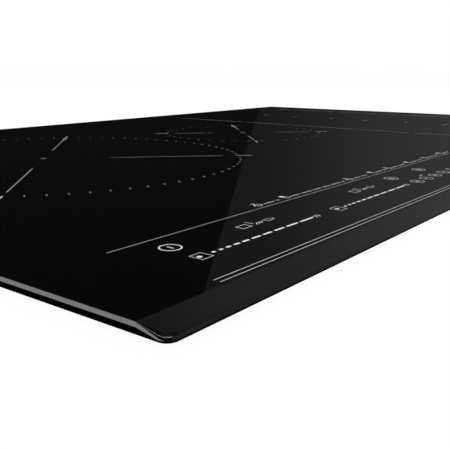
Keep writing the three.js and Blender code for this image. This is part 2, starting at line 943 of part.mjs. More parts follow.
function touchCarrier() {
  const floorTop = shelfBottom + control.floor;
  const outerX = spanAround(0, carrierWidth);
  const outerY = spanAround(controlY, control.carrierDepth);
  const box = block(outerX, outerY, [shelfBottom, trayTop]);
  const hollow = block(
    spanAround(0, carrierWidth - 2 * control.wall),
    spanAround(controlY, control.carrierDepth - 2 * control.wall),
    [floorTop, trayTop + fit.overrun],
  );
  const ribs = Array.from({ length: control.ribCount }, (_, i) => {
    const share = (i + 0.5) / control.ribCount - 0.5;
    const x = spanAround(share * carrierWidth, control.ribThickness);
    return block(x, outerY, [shelfBottom, touchBoardBottom]);
  });
  const reach = (carrierWidth / 2) * control.legShare;
  const legs = Array.from({ length: control.legCount }, (_, i) => {
    const share = (2 * i) / (control.legCount - 1) - 1;
    return rod(control.legRadius, tray.sheet, floorTop, share * reach, controlY);
  });
  return joined([cut(box, [hollow]), ...ribs, ...legs]);
}

function touchBoard() {
  const outline = roundedOutline(touchBoardWidth, touchBoardDepth, board.cornerRadius, 0, controlY);
  return slab(outline, touchBoardBottom, touchBoardTop, 1);
}

function lightGuide() {
  const width = touchBoardWidth - 2 * control.guideSideInset;
  const depth = touchBoardDepth - 2 * control.guideEndInset;
  const outline = roundedOutline(width, depth, board.cornerRadius, 0, controlY);
  const sliderY = controlY - control.sliderAhead;
  const keyY = controlY + control.keyBehind;
  control.sliderShares.forEach((share) => outline.holes.push(roundedOutline(
    control.sliderLength,
    control.sliderWidth,
    control.sliderWidth / 2,
    share * width,
    sliderY,
  )));
  control.keyShares.forEach((share) => outline.holes.push(roundHole(control.keyRadius, share * width, keyY)));
  return slab(outline, touchBoardTop, plateUnderside, steps.arc);
}

// Fans: the outlet of each points outward, along the heat sink

function scrollPoints(inset) {
  const points = [];
  const around = steps.scroll;
  for (let i = 0; i <= around; i += 1) {
    const angle = fan.tongueAngle + (fan.sweep * i) / around;
    const radius = fan.tongueRadius + ((fan.scrollRadius - fan.tongueRadius) * i) / around - inset;
    points.push(turnedPoint(radius, degrees(angle)));
  }
  const reach = fan.outletReach + (inset ? fit.overrun : 0);
  points.push(new THREE.Vector2(-reach, fan.scrollRadius - inset));
  points.push(new THREE.Vector2(-reach, fan.outletFloor + inset));
  return points;
}

function sidedSlab(points, side, bottom, top) {
  const placed = points.map((point) => new THREE.Vector2(side * (fanX - point.x), point.y + fanY));
  return slab(new THREE.Shape(placed), bottom, top);
}

function fanHousing(side) {
  const bottom = tray.sheet;
  const top = bottom + fan.height;
  const [x, y] = [side * fanX, fanY];
  const shell = sidedSlab(scrollPoints(0), side, bottom, top);
  const hollow = sidedSlab(scrollPoints(fan.wall), side, bottom + fan.wall, top - fan.wall);
  const inlet = rod(fan.inletRadius, bottom - fit.overrun, bottom + 2 * fan.wall, x, y, steps.medium);
  const roof = top - fan.wall / 2;
  const stator = rod(fan.statorRadius, roof - fan.statorDrop, roof, x, y, steps.small);
  const shaft = rod(fan.shaftRadius, roof - fan.shaftDrop, roof, x, y);
  const support = rod(fan.supportRadius, roof, shelfBottom, x, y + fan.supportOffset);
  return joined([cut(shell, [hollow, inlet]), stator, shaft, support]);
}

function bladePoints(index) {
  const start = (Math.PI * 2 * index) / rotor.bladeCount;
  const edge = (offset) => Array.from({ length: steps.blade + 1 }, (_, i) => {
    const share = i / steps.blade;
    const radius = rotor.bladeInner + (rotor.radius - rotor.bladeInner) * share;
    const angle = start - degrees(rotor.bladeSweep) * share ** 1.5;
    return turnedPoint(radius, angle + offset / radius);
  });
  const half = rotor.bladeThickness / 2;
  return [...edge(-half), ...edge(half).reverse()];
}

function fanRotor(side) {
  const top = tray.sheet + fan.height - fan.wall - rotor.topGap;
  const plateBottom = top - rotor.plateThickness;
  const hubInner = rotor.hubRadius - rotor.hubWall;
  const bore = fan.shaftRadius + fit.clearance;
  const bottom = rotor.hubBottom;
  const floor = bottom + rotor.hubWall;
  const hub = turned([
    [bore, bottom],
    [bore, floor + rotor.sleeveRadius * 2],
    [rotor.sleeveRadius, floor + rotor.sleeveRadius * 2],
    [rotor.sleeveRadius, floor],
    [hubInner, floor],
    [hubInner, top],
    [rotor.radius, top],
    [rotor.radius, plateBottom],
    [rotor.hubRadius, plateBottom],
    [rotor.hubRadius, bottom],
  ], 0, 0, steps.medium);
  const ring = turned([
    [rotor.ringInner, rotor.bladeBottom],
    [rotor.ringInner, rotor.bladeBottom + rotor.ringThickness],
    [rotor.radius, rotor.bladeBottom + rotor.ringThickness],
    [rotor.radius, rotor.bladeBottom],
  ], 0, 0, steps.medium);
  const blades = Array.from({ length: rotor.bladeCount }, (_, i) => {
    const points = bladePoints(i).map((point) => new THREE.Vector2(-side * point.x, point.y));
    const root = top - rotor.plateThickness / 2;
    return slab(new THREE.Shape(points), rotor.bladeBottom + rotor.ringThickness / 2, root);
  });
  return joined([hub, ring, ...blades]).translate([side * fanX, fanY, 0]);
}

// Power electronics

function corners(width, depth, inset, x, y) {
  return bothSides.flatMap((across) => bothSides.map(
    (along) => [x + across * (width / 2 - inset), y + along * (depth / 2 - inset)],
  ));
}

function boardCarrier(side) {
  const [x, y] = [side * boardX, boardY];
  const width = boardWidth + 2 * board.carrierMargin;
  const depth = board.depth + 2 * board.carrierMargin;
  const floorTop = tray.sheet + board.carrierFloor;
  const floor = slab(roundedOutline(width, depth, board.cornerRadius, x, y), tray.sheet, floorTop, 1);
  const feet = corners(boardWidth, board.depth, board.footInset, x, y)
    .map((spot) => rod(board.footRadius, floorTop - board.carrierFloor / 2, boardBottom, ...spot));
  const posts = corners(width, depth, board.postRadius, x, y)
    .map((spot) => rod(board.postRadius, floorTop - board.carrierFloor / 2, shelfBottom, ...spot));
  return joined([floor, ...feet, ...posts]);
}

function powerBoard(side) {
  const outline = roundedOutline(boardWidth, board.depth, board.cornerRadius, side * boardX, boardY);
  return slab(outline, boardBottom, boardTop, 1);
}

function heatSink(side) {
  const outletMiddle = fanY + (fan.outletFloor + fan.scrollRadius) / 2;
  const [front, back] = spanAround(outletMiddle, sink.depth);
  const baseTop = boardTop + sink.base;
  const top = shelfBottom - sink.airGap;
  const pitch = (sink.depth - sink.finThickness) / (sink.finCount - 1);
  const outline = [[front, boardTop], [back, boardTop]];
  for (let i = sink.finCount - 1; i >= 0; i -= 1) {
    const edge = front + i * pitch;
    outline.push([edge + sink.finThickness, top], [edge, top]);
    if (i > 0) outline.push([edge, baseTop], [edge - pitch + sink.finThickness, baseTop]);
  }
  return alongX(outline, ...spanAround(side * (boardX - sink.towardsFan), boardWidth - 2 * sink.endMargin));
}

function capacitorBank(side) {
  const outline = roundedOutline(
    capacitor.width,
    capacitor.depth,
    capacitor.cornerRadius,
    side * (boardX + capacitor.acrossShare * boardWidth),
    boardY - capacitor.ahead,
  );
  return slab(outline, boardTop, shelfBottom - capacitor.airGap, steps.arc);
}

function chokeRing(side) {
  const geometry = new THREE.TorusGeometry(choke.ringRadius, choke.tubeRadius, steps.tube, steps.small);
  const x = side * (boardX + choke.acrossShare * boardWidth);
  geometry.translate(x, boardY - choke.ahead, boardTop + choke.tubeRadius);
  return solidOf(geometry);
}

// Mains terminal at the back

const coverPivot = {
  y: trayDepth / 2 + fit.clearance + terminal.hingeRadius,
  z: terminal.coverBottom,
};

function terminalBox() {
  const x = spanAround(terminalX, terminal.boxWidth);
  const back = insideHalfDepth;
  const z = [tray.sheet, terminalTop];
  const shell = block(x, [terminalFront, back], z);
  const w = terminal.boxWall;
  const hollow = block([x[0] + w, x[1] - w], [terminalFront + w, back + fit.overrun], [z[0] + w, z[1] - w]);
  const reach = coverPivot.y + terminal.hingeRadius;
  const lugHeight = coverPivot.z + terminal.hingeRadius;
  const pinHole = rodAlongX(
    terminal.pinRadius + fit.clearance,
    x[0] - fit.overrun,
    x[1] + fit.overrun,
    coverPivot.y,
    coverPivot.z,
  );
  const lugs = bothSides.map((side) => {
    const inner = terminalX + side * (coverWidth / 2 + fit.clearance);
    const outer = inner + side * terminal.lugThickness;
    const span = [inner, outer].sort((a, b) => a - b);
    const floor = z[0] + w + fit.clearance;
    const foot = block(span, [back - 2 * w, back - fit.clearance], [z[0] + w / 2, lugHeight]);
    return joined([foot, block(span, [back - 2 * w, reach], [floor, lugHeight])]);
  });
  return cut(joined([cut(shell, [hollow]), ...lugs]), [pinHole]);
}

function terminalBlock() {
  const bottom = tray.sheet + terminal.boxWall;
  const front = terminalFront + terminal.boxWall;
  const top = bottom + terminal.blockHeight;
  const width = terminal.boxWidth - 2 * (terminal.boxWall + terminal.blockSideGap);
  const body = block(
    spanAround(terminalX, width),
    [front, front + terminal.blockDepth],
    [bottom, top],
  );
  const pitch = width / terminal.wellCount;
  const wells = Array.from({ length: terminal.wellCount }, (_, i) => rod(
    terminal.wellRadius,
    top - terminal.wellDepth,
    top + fit.overrun,
    terminalX + (i - (terminal.wellCount - 1) / 2) * pitch,
    front + terminal.blockDepth / 2,
    steps.tiny,
  ));
  return cut(body, wells);
}

function terminalCover() {
  const { y, z } = coverPivot;
  const inner = trayDepth / 2 + fit.clearance;
  const top = terminalTop + terminal.coverRise;
  const x = spanAround(terminalX, coverWidth);
  const leaf = block(x, [inner, inner + terminal.coverThickness], [z, top]);
  const barrel = rodAlongX(terminal.hingeRadius, ...x, y, z);
  const pinLength = coverWidth + 2 * (terminal.pinReach - fit.clearance);
  const pins = rodAlongX(terminal.pinRadius, ...spanAround(terminalX, pinLength), y, z);
  const tab = block(
    spanAround(terminalX, terminal.tabWidth),
    [inner, inner + terminal.coverThickness],
    [top - fit.clearance, top + terminal.tabHeight],
  );
  return joined([leaf, barrel, pins, tab]);
}

function cableGland() {
  const wall = trayDepth / 2;
  const outer = wall + gland.flangeThickness;
  const flange = rodAlongY(gland.flangeRadius, wall, outer, glandX, glandZ);
  const bodyEnds = [insideHalfDepth - gland.inside, wall + gland.flangeThickness / 2];
  const body = rodAlongY(gland.bodyRadius, ...bodyEnds, glandX, glandZ);
  const nutFront = insideHalfDepth - gland.nutThickness;
  const nut = rodAlongY(gland.nutRadius, nutFront, insideHalfDepth, glandX, glandZ, steps.hex);
  const bore = rodAlongY(gland.bore, bodyEnds[0] - fit.overrun, outer + fit.overrun, glandX, glandZ);
  return cut(joined([flange, body, nut]), [bore]);
}

// Fixing clamps

function clampScrew(side, end) {
  const [x, y] = [side * clampX, end * clampY];
  const shoulder = clamp.headBottom + clamp.headHeight;
  const head = rod(clamp.headRadius, clamp.headBottom, shoulder, x, y, steps.small);
  const shankTop = plateUnderside - clamp.travel - clamp.topGap;
  const shank = rod(clamp.shankRadius, clamp.headBottom + clamp.headHeight / 2, shankTop, x, y);
  const socketTop = clamp.headBottom + clamp.socketDepth;
  const socket = rod(clamp.socketRadius, clamp.headBottom - fit.overrun, socketTop, x, y, steps.hex);
  return cut(joined([head, shank]), [socket]);
}

function clampArm(side, end) {
  const [x, y] = [side * clampX, end * clampY];
  const bottom = clamp.headBottom + clamp.headHeight;
  const top = bottom + clamp.armThickness;
  const half = clamp.armWidth / 2;
  const outline = new THREE.Shape();
  const [near, far] = [0, -end * clamp.armLength];
  outline.moveTo(-half, near);
  outline.absarc(0, 0, half, Math.PI, 0, end > 0);
  outline.lineTo(half, far);
  outline.lineTo(-half, far);
  outline.holes.push(roundHole(clamp.shankRadius + fit.clearance, 0, 0));
  const strap = slab(outline, bottom, top, steps.small / 2).translate([x, y, 0]);
  const clawSpan = [y + far, y + far + end * clamp.clawThickness].sort((a, b) => a - b);
  const claw = block([x - half, x + half], clawSpan, [bottom, top + clamp.clawHeight]);
  return joined([strap, claw]);
}

// Assembly

function meshOf(name, solid, finish) {
  const data = solid.getMesh();
  const geometry = new THREE.BufferGeometry();
  geometry.setAttribute('position', new THREE.BufferAttribute(new Float32Array(data.vertProperties), 3));
  geometry.setIndex(new THREE.BufferAttribute(new Uint32Array(data.triVerts), 1));
  const mesh = new THREE.Mesh(geometry, new THREE.MeshStandardMaterial(finishes[finish]));
  mesh.name = name;
  return mesh;
}

function windingRange(inner, outer) {
  return [inner + winding.sideGap, outer - winding.sideGap];
}

const parts = [
  ['glass_plate', glassPlate(), 'glass'],
  ['rim_gasket', rimGasket(), 'foam'],
  ['adhesive_bead', adhesiveBead(), 'silicone'],
  ['support_frame', supportFrame(), 'zincSteel'],
  ['bottom_tray', bottomTray(), 'zincSteel'],
  ['coil_plate_left', coilShelf(shelfEdges.leftX, shelfEdges.leftY, [largeZone, middleZone]), 'aluminium'],
  ['coil_plate_right', coilShelf(shelfEdges.rightX, shelfEdges.rightY, flexCentres), 'aluminium'],
];

const halfRim = former.rim / 2;
const innerBand = windingRange(former.hubRadius, coilSplitRadius - halfRim);
const outerBand = windingRange(coilSplitRadius + halfRim, largeZone.coilRadius - former.rim);
const middleBand = windingRange(former.hubRadius, middleZone.coilRadius - former.rim);
parts.push(
  ['coil_former_left', roundFormer(largeZone, [coilSplitRadius], former.ferriteCount, steps.large), 'blackPlastic'],
  ['coil_former_middle', roundFormer(middleZone, [], former.smallFerriteCount, steps.medium), 'blackPlastic'],
  ['coil_left_inner', roundWinding(largeZone, ...innerBand, steps.medium), 'copper'],
  ['coil_left_outer', roundWinding(largeZone, ...outerBand, steps.large), 'copper'],
  ['coil_middle', roundWinding(middleZone, ...middleBand, steps.medium), 'copper'],
  ['insulation_mat_left', roundMat(largeZone, largeZone.coilRadius - mat.inset), 'mineralMat'],
  ['insulation_mat_middle', roundMat(middleZone, middleZone.coilRadius - mat.inset), 'mineralMat'],
  ['insulation_mat_flex', flexMat(), 'mineralMat'],
  ['sensor_left', temperatureSensor(largeZone), 'sensorSteel'],
  ['sensor_middle', temperatureSensor(middleZone), 'sensorSteel'],
);

flexCentres.forEach((zone) => parts.push(
  [`coil_former_${zone.name}`, flexFormer(zone), 'blackPlastic'],
  [`coil_${zone.name}`, flexWinding(zone), 'copper'],
  [`sensor_${zone.name}`, temperatureSensor(zone, sensor.flexShare), 'sensorSteel'],
));

parts.push(
  ['touch_carrier', touchCarrier(), 'ivoryPlastic'],
  ['touch_board', touchBoard(), 'greenBoard'],
  ['light_guide', lightGuide(), 'whiteGuide'],
);

leftRight.forEach(({ name, side }) => parts.push(
  [`fan_housing_${name}`, fanHousing(side), 'blackPlastic'],
  [`fan_rotor_${name}`, fanRotor(side), 'ivoryPlastic'],
  [`board_carrier_${name}`, boardCarrier(side), 'ivoryPlastic'],
  [`power_board_${name}`, powerBoard(side), 'greenBoard'],
  [`heat_sink_${name}`, heatSink(side), 'aluminium'],
  [`capacitor_${name}`, capacitorBank(side), 'yellowFilm'],
  [`choke_${name}`, chokeRing(side), 'copper'],
));

parts.push(
  ['terminal_box', terminalBox(), 'blackPlastic'],
  ['terminal_block', terminalBlock(), 'ivoryPlastic'],
  ['terminal_cover', terminalCover(), 'blackPlastic'],
  ['cable_gland', cableGland(), 'blackPlastic'],
);

leftRight.forEach(({ name, side }) => bothSides.forEach((end) => {
  const place = `${end < 0 ? 'front' : 'back'}_${name}`;
  parts.push(
    [`clamp_screw_${place}`, clampScrew(side, end), 'steelScrew'],
    [`clamp_arm_${place}`, clampArm(side, end), 'zincSteel'],
  );
}));

const cooktop = new THREE.Group();
cooktop.name = 'induction_cooktop';
parts.forEach(([name, solid, finish]) => cooktop.add(meshOf(name, solid, finish)));

export default cooktop;
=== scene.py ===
"""Dressed scene of a built-in induction cooktop: a black glass plate with an enamel print, let into a worktop.

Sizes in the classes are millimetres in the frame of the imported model; a mesh gets them in metres.
"""

import itertools
import logging
import math
from collections.abc import Sequence
from dataclasses import dataclass, field
from enum import Enum

import bmesh
import bpy
import numpy as np
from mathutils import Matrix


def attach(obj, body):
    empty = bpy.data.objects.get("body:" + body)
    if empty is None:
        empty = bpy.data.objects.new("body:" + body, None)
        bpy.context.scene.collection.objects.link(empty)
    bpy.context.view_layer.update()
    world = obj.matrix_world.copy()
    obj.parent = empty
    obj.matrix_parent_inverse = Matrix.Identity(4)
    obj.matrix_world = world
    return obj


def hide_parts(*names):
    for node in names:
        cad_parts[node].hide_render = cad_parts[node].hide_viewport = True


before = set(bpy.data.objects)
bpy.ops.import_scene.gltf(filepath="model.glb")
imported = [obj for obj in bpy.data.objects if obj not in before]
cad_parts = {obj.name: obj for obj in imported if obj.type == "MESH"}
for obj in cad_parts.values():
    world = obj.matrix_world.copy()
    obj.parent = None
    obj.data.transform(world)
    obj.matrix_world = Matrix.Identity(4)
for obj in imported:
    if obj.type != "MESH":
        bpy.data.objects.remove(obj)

LOG = logging.getLogger("cooktop")
MM = 0.001
PLATE_TOP = 57.0
PRINT_THICKNESS = 0.02
GLASS_TOP = PLATE_TOP - PRINT_THICKNESS
WORKTOP = 51.0

Numbers = float | Sequence[float] | np.ndarray
Rows = Sequence[Sequence[float]] | np.ndarray
Pair = tuple[float, float]
Triple = tuple[float, float, float]
Four = tuple[float, float, float, float]
Values = tuple[float, ...]
Pairs = tuple[Pair, ...]
Tree = bpy.types.NodeTree


class Side(Enum):
    """The two sides of the cooktop, by the sign of x."""

    LEFT = -1
    RIGHT = 1


# Shapes


@dataclass
class Shell:
    """Closed surfaces, in millimetres.

    Attributes:
        points: The corners, one row (x, y, z) each.
        faces: Arrays of point numbers; every row of an array is one polygon.
        finishes: The number of the finish that each array of faces has.
        windings: For each array of faces, the (turn, share) pair of every polygon corner, or nothing.
    """

    points: np.ndarray
    faces: list[np.ndarray]
    finishes: list[int]
    windings: list[np.ndarray] = field(default_factory=list)


def joined(shells: Sequence[Shell]) -> Shell:
    """Puts shells into one, with the point numbers of each moved on by the points before it.

    Args:
        shells: The shells, in their order.

    Returns:
        One shell with all their points and faces.
    """
    starts = np.cumsum([0] + [len(shell.points) for shell in shells])
    return Shell(
        np.vstack([shell.points for shell in shells]),
        [rows + start for shell, start in zip(shells, starts) for rows in shell.faces],
        [number for shell in shells for number in shell.finishes],
        [rows for shell in shells for rows in shell.windings],
    )


def finished(shell: Shell, number: int) -> Shell:
    """Gives every face of a shell the finish of that number."""
    return Shell(shell.points, shell.faces, [number] * len(shell.faces), shell.windings)


def grid_quads(rows: int, columns: int, wrap_rows: bool, wrap_columns: bool) -> np.ndarray:
    """Quads of a grid of points, where point (i, j) has the number i * columns + j.

    Args:
        rows: How many rows of points there are.
        columns: How many points a row has.
        wrap_rows: Whether the last row joins the first.
        wrap_columns: Whether the last point of a row joins its first.

    Returns:
        One row of four point numbers for each quad.
    """
    i, j = np.meshgrid(np.arange(rows - 1 + wrap_rows), np.arange(columns - 1 + wrap_columns), indexing="ij")
    here, there = i * columns, (i + 1) % rows * columns
    after = (j + 1) % columns
    return np.stack([here + j, here + after, there + after, there + j], -1).reshape(-1, 4)


def directions(angle: np.ndarray) -> np.ndarray:
    """Unit vectors (cos a, sin a), one row for each angle."""
    return np.stack([np.cos(angle), np.sin(angle)], -1)


def outward(angle: np.ndarray) -> np.ndarray:
    """Level unit vectors (cos a, sin a, 0), one row for each angle."""
    return np.c_[directions(angle), 0 * angle]


def circle(radius: float, steps: int) -> np.ndarray:
    """Points of a circle round the origin: (radius cos a, radius sin a) for evenly spaced angles a."""
    return radius * directions(np.arange(steps) * 2 * np.pi / steps)


def rounded_outline(
    half_width: Numbers, half_depth: Numbers, radius: Numbers, angle: np.ndarray, quarter: np.ndarray
) -> np.ndarray:
    """Points of a rounded rectangle: corner centre plus radius times (cos angle, sin angle).

    Args:
        half_width: Half the size along X, one number or an array.
        half_depth: Half the size along Y, in the same form.
        radius: Corner radius, in the same form.
        angle: Direction of the outline's outward normal at each point.
        quarter: Which corner each point belongs to, 0 for +X +Y and on counter-clockwise.

    Returns:
        One row (x, y) for each angle.
    """
    side = np.array([1, -1, -1, 1])[quarter]
    end = np.array([1, 1, -1, -1])[quarter]
    x = side * (half_width - radius) + radius * np.cos(angle)
    y = end * (half_depth - radius) + radius * np.sin(angle)
    return np.stack([x, y], -1)


def corner_angles(steps: int, both_ends: bool = True) -> tuple[np.ndarray, np.ndarray]:
    """Outward normals of a rounded rectangle's points, and the corner of each.

    Args:
        steps: Points on each corner, without the last one.
        both_ends: Whether a corner has its last point, which a straight side needs.

    Returns:
        The angles and the corner numbers, counter-clockwise from +X.
    """
    within = np.linspace(0, np.pi / 2, steps + 1)[: steps + both_ends]
    angle = (np.arange(4)[:, None] * np.pi / 2 + within).ravel()
    return angle, np.repeat(np.arange(4), len(within))


def rounded_rectangle(width: float, depth: float, radius: float, steps: int = 4) -> np.ndarray:
    """Outline of a rounded rectangle round the origin, counter-clockwise."""
    return rounded_outline(width / 2, depth / 2, radius, *corner_angles(steps))


def lofted(rings: np.ndarray) -> Shell:
    """Rings of points joined by quads, with a polygon over the first and the last.

    Args:
        rings: Array (rings, points, 3); ring i is joined to ring i + 1.

    Returns:
        The closed shell.
    """
    rows, columns = rings.shape[:2]
    ring_numbers = np.arange(columns)
    caps = [ring_numbers[::-1][None], ring_numbers[None] + (rows - 1) * columns]
    return Shell(rings.reshape(-1, 3), [grid_quads(rows, columns, False, True), *caps], [0, 0, 0])


def prism(outline: np.ndarray, low: float, high: float, bevel: float = 0.0) -> Shell:
    """A flat outline stood up between two heights; its top and bottom edges are drawn in by the bevel.

    Args:
        outline: Points (x, y) round the origin, counter-clockwise.
        low: Height of the bottom.
        high: Height of the top.
        bevel: Width of the slope at both edges.

    Returns:
        The closed shell.
    """
    reach = np.abs(outline).max(0)
    inner = outline * (1 - bevel / reach)
    levels = [(inner, low), (outline, low + bevel), (outline, high - bevel), (inner, high)]
    if not bevel:
        levels = levels[1:3]
    return lofted(np.stack([np.c_[flat, np.full(len(flat), height)] for flat, height in levels]))


def box(size: Triple, bevel: float = 0.3) -> Shell:
    """A block with drawn-in edges that stands on the origin: the rectangle (±x/2, ±y/2) from 0 to z.

    Args:
        size: Width, depth and height.
        bevel: Width of the slope at its edges.

    Returns:
        The closed shell.
    """
    x, y, z = size
    corners = np.array([[-x, -y], [x, -y], [x, y], [-x, y]]) / 2
    return prism(corners, 0, z, bevel)


@dataclass(frozen=True)
class Block:
    """A moulded block: a rounded rectangle stood up between two heights.

    Attributes:
        size: Width and depth.
        radius: Corner radius.
        reach: Height of its lower and upper end.
        bevel: Width of the slope at its edges.
        steps: Steps round a corner.
    """

    size: Pair
    radius: float
    reach: Pair
    bevel: float = 0.0
    steps: int = 1

    def build(self) -> Shell:
        """The closed shell, round Z."""
        return prism(rounded_rectangle(*self.size, self.radius, self.steps), *self.reach, self.bevel)


def revolved(profile: Rows, steps: int, hollow: bool = False) -> Shell:
    """A profile turned about Z: point (i, j) is (r_j cos a_i, r_j sin a_i, z_j).

    Args:
        profile: Points (r, z).
        steps: How many steps go round.
        hollow: Whether the profile is a closed loop, as for a ring, and not capped at its ends.

    Returns:
        The closed shell.
    """
    shape = np.array(profile, float)
    level = shape[:, None, :1] * circle(1, steps)[None]
    rings = np.concatenate([level, np.broadcast_to(shape[:, None, 1:], (len(shape), steps, 1))], -1)
    if not hollow:
        return lofted(rings)
    return Shell(rings.reshape(-1, 3), [grid_quads(len(shape), steps, True, True)], [0])


def repeated(shell: Shell, places: Rows, turns: Numbers = 0.0, scales: Numbers | Rows = 1.0) -> Shell:
    """Copies of a shell, each stretched, turned about Z and moved: R(turn) (scale * point) + place.

    Args:
        shell: The shape to copy.
        places: Rows (x, y, z), one for each copy.
        turns: Angles in radians, one for all or one each.
        scales: Factors (x, y, z), one for all or one row each.

    Returns:
        One shell with every copy, without windings.
    """
    places = np.atleast_2d(np.asarray(places, float))
    count, size = len(places), len(shell.points)
    turns = np.broadcast_to(turns, count)[:, None]
    scales = np.broadcast_to(scales, (count, 3))[:, None, :]
    drawn = shell.points[None] * scales
    x = drawn[..., 0] * np.cos(turns) - drawn[..., 1] * np.sin(turns)
    y = drawn[..., 0] * np.sin(turns) + drawn[..., 1] * np.cos(turns)
    points = np.stack([x, y, drawn[..., 2]], -1) + places[:, None, :]
    starts = (np.arange(count) * size)[:, None, None]
    faces = [(rows[None] + starts).reshape(-1, rows.shape[1]) for rows in shell.faces]
    return Shell(points.reshape(-1, 3), faces, list(shell.finishes))


def tube(
    path: np.ndarray, side: np.ndarray, radius: float, around: int, up: np.ndarray | None = None
) -> Shell:
    """A round wire along a path: point (i, j) is path_i + radius (cos b_j side_i + sin b_j up_i).

    Args:
        path: Points (x, y, z) of the middle line.
        side: Unit vectors square to the path.
        radius: Radius of the wire.
        around: How many points go round it.
        up: Unit vectors square to both; Z when left out.

    Returns:
        The closed shell, with the length and the share round it kept at every corner of its quads.
    """
    rim = circle(radius, around)
    up = np.tile([0, 0, 1.0], (len(path), 1)) if up is None else up
    shell = lofted(path[:, None] + rim[None, :, :1] * side[:, None] + rim[None, :, 1:] * up[:, None])
    length = np.r_[0, np.cumsum(np.linalg.norm(np.diff(path, axis=0), axis=1))]
    i, j = np.meshgrid(np.arange(len(path) - 1), np.arange(around), indexing="ij")
    along = np.stack([length[i], length[i], length[i + 1], length[i + 1]], -1)
    share = np.stack([j, j + 1, j + 1, j], -1) / around
    shell.windings = [np.stack([along, share], -1).reshape(-1, 2), *[np.zeros((around, 2))] * 2]
    return shell


def helix(angle: np.ndarray, rise: np.ndarray, radius: float, wire: float, around: int, foot: Rows) -> Shell:
    """A wire wound about Z: its middle line is foot + (radius cos a, radius sin a, rise).

    Args:
        angle: Angles along the wire.
        rise: Height above the foot at each angle.
        radius: Radius of the winding.
        wire: Radius of the wire.
        around: How many points go round the wire.
        foot: The point (x, y, z) where its axis starts.

    Returns:
        The closed shell.
    """
    side = outward(angle)
    return tube(side * radius + foot + np.outer(rise, [0, 0, 1]), side, wire, around)


def screw_head(radius: float, height: float, parts: int, groove: float) -> Shell:
    """A screw head round Z: a disc, and on it the sectors that its slot (2) or cross (4) leaves.

    A sector runs along the rim between two grooves and meets at groove / 2 / sin(pi / parts) from the middle.

    Args:
        radius: Radius of the head.
        height: Its height; it stands on the origin.
        parts: How many sectors there are.
        groove: Width of a groove.

    Returns:
        The closed shells of disc and sectors.
    """
    half, rim_steps = math.pi / parts, 9
    rim = radius * directions(np.linspace(-1, 1, rim_steps) * (half - math.asin(groove / 2 / radius)))
    tip = [[groove / 2 / math.sin(half), 0]]
    drawn_in, floor, shoulder, disc_top = 0.82, 0.4 * height, 0.75 * height, 0.45 * height
    levels = [(rim, floor), (rim, shoulder), (drawn_in * rim, height)]
    sector = lofted(np.stack([np.c_[np.vstack([flat, tip]), np.full(rim_steps + 1, z)] for flat, z in levels]))
    turns = (np.arange(parts) + 0.5) * 2 * half
    disc = prism(circle(radius, 24), 0, disc_top)
    return joined([disc, repeated(sector, np.zeros((parts, 3)), turns)])


def lying(shell: Shell, direction: tuple[int, int]) -> Shell:
    """A shell that stood on Z, laid over: point (a, d, h) goes to h (x, y) + a (-y, x), at height d.

    Args:
        shell: The standing shell.
        direction: Unit vector (x, y) that its top then looks along.

    Returns:
        The lying shell.
    """
    x, y = direction
    across, depth, along = shell.points.T
    points = np.stack([along * x - across * y, along * y + across * x, depth], -1)
    return Shell(points, shell.faces, shell.finishes)


# Finishes


class Pattern(Enum):
    """How the making of a material marks its surface."""

    GRAIN = "even fine noise, drawn out along the stretched axes"
    CRYSTALS = "flat crystals, each of its own tone"
    STRANDS = "slanting strands round a wire"
    WEAVE = "crossed threads under a lacquer"


# Strands that show round a wire, and the wire's length for one turn of them, in strand widths
STRANDS_ROUND = 6.0
STRAND_LAY = 8
# Repeats of the slow drift of tone and of wiped streaks in one metre
DRIFT = 18.0
STREAKS = 9.0
# The share of a noise that spans a pattern from hollow to height
NOISE_SPAN = {"From Min": 0.3, "From Max": 0.7}


def linear(code: str) -> tuple[float, float, float, float]:
    """Turns an sRGB hex colour linear: v / 12.92 up to 0.04045, and ((v + 0.055) / 1.055) ^ 2.4 above.

    Args:
        code: The colour, such as "#c3c6c8".

    Returns:
        Red, green, blue and an alpha of 1.
    """
    shares = np.array([int(code[i : i + 2], 16) for i in (1, 3, 5)]) / 255
    light = np.where(shares <= 0.04045, shares / 12.92, ((shares + 0.055) / 1.055) ** 2.4)
    return (*map(float, light), 1.0)


def add_node(
    tree: Tree, kind: str, settings: dict | None = None, links: dict | None = None
) -> bpy.types.Node:
    """Adds a shader node.

    Args:
        tree: The node tree that gets it.
        kind: Node type, without its ShaderNode prefix.
        settings: Properties of the node and their values.
        links: Input sockets by name or number, each with an output socket or a node whose first output is
            meant, to link, or with a value to hold.

    Returns:
        The new node.
    """
    node = tree.nodes.new("ShaderNode" + kind)
    for name, value in (settings or {}).items():
        setattr(node, name, value)
    for key, value in (links or {}).items():
        source = value.outputs[0] if isinstance(value, bpy.types.Node) else value
        if isinstance(source, bpy.types.NodeSocket):
            tree.links.new(source, node.inputs[key])
        else:
            node.inputs[key].default_value = source
    return node


class Dressing:
    """A surface that can be put on a piece. Each kind has a name and works out its shader."""

    name: str

    def shader(self, tree: Tree) -> bpy.types.Node:
        """Adds the nodes of the finish and returns its shader node."""
        raise NotImplementedError

    def material(self) -> bpy.types.Material:
        """The Blender material of this finish, made at its first use.

        Returns:
            The material, with only the nodes of this finish.
        """
        known = bpy.data.materials.get(self.name)
        if known:
            return known
        made = bpy.data.materials.new(self.name)
        made.use_nodes = True
        made.node_tree.nodes.clear()
        add_node(made.node_tree, "OutputMaterial", links={"Surface": self.shader(made.node_tree)})
        return made


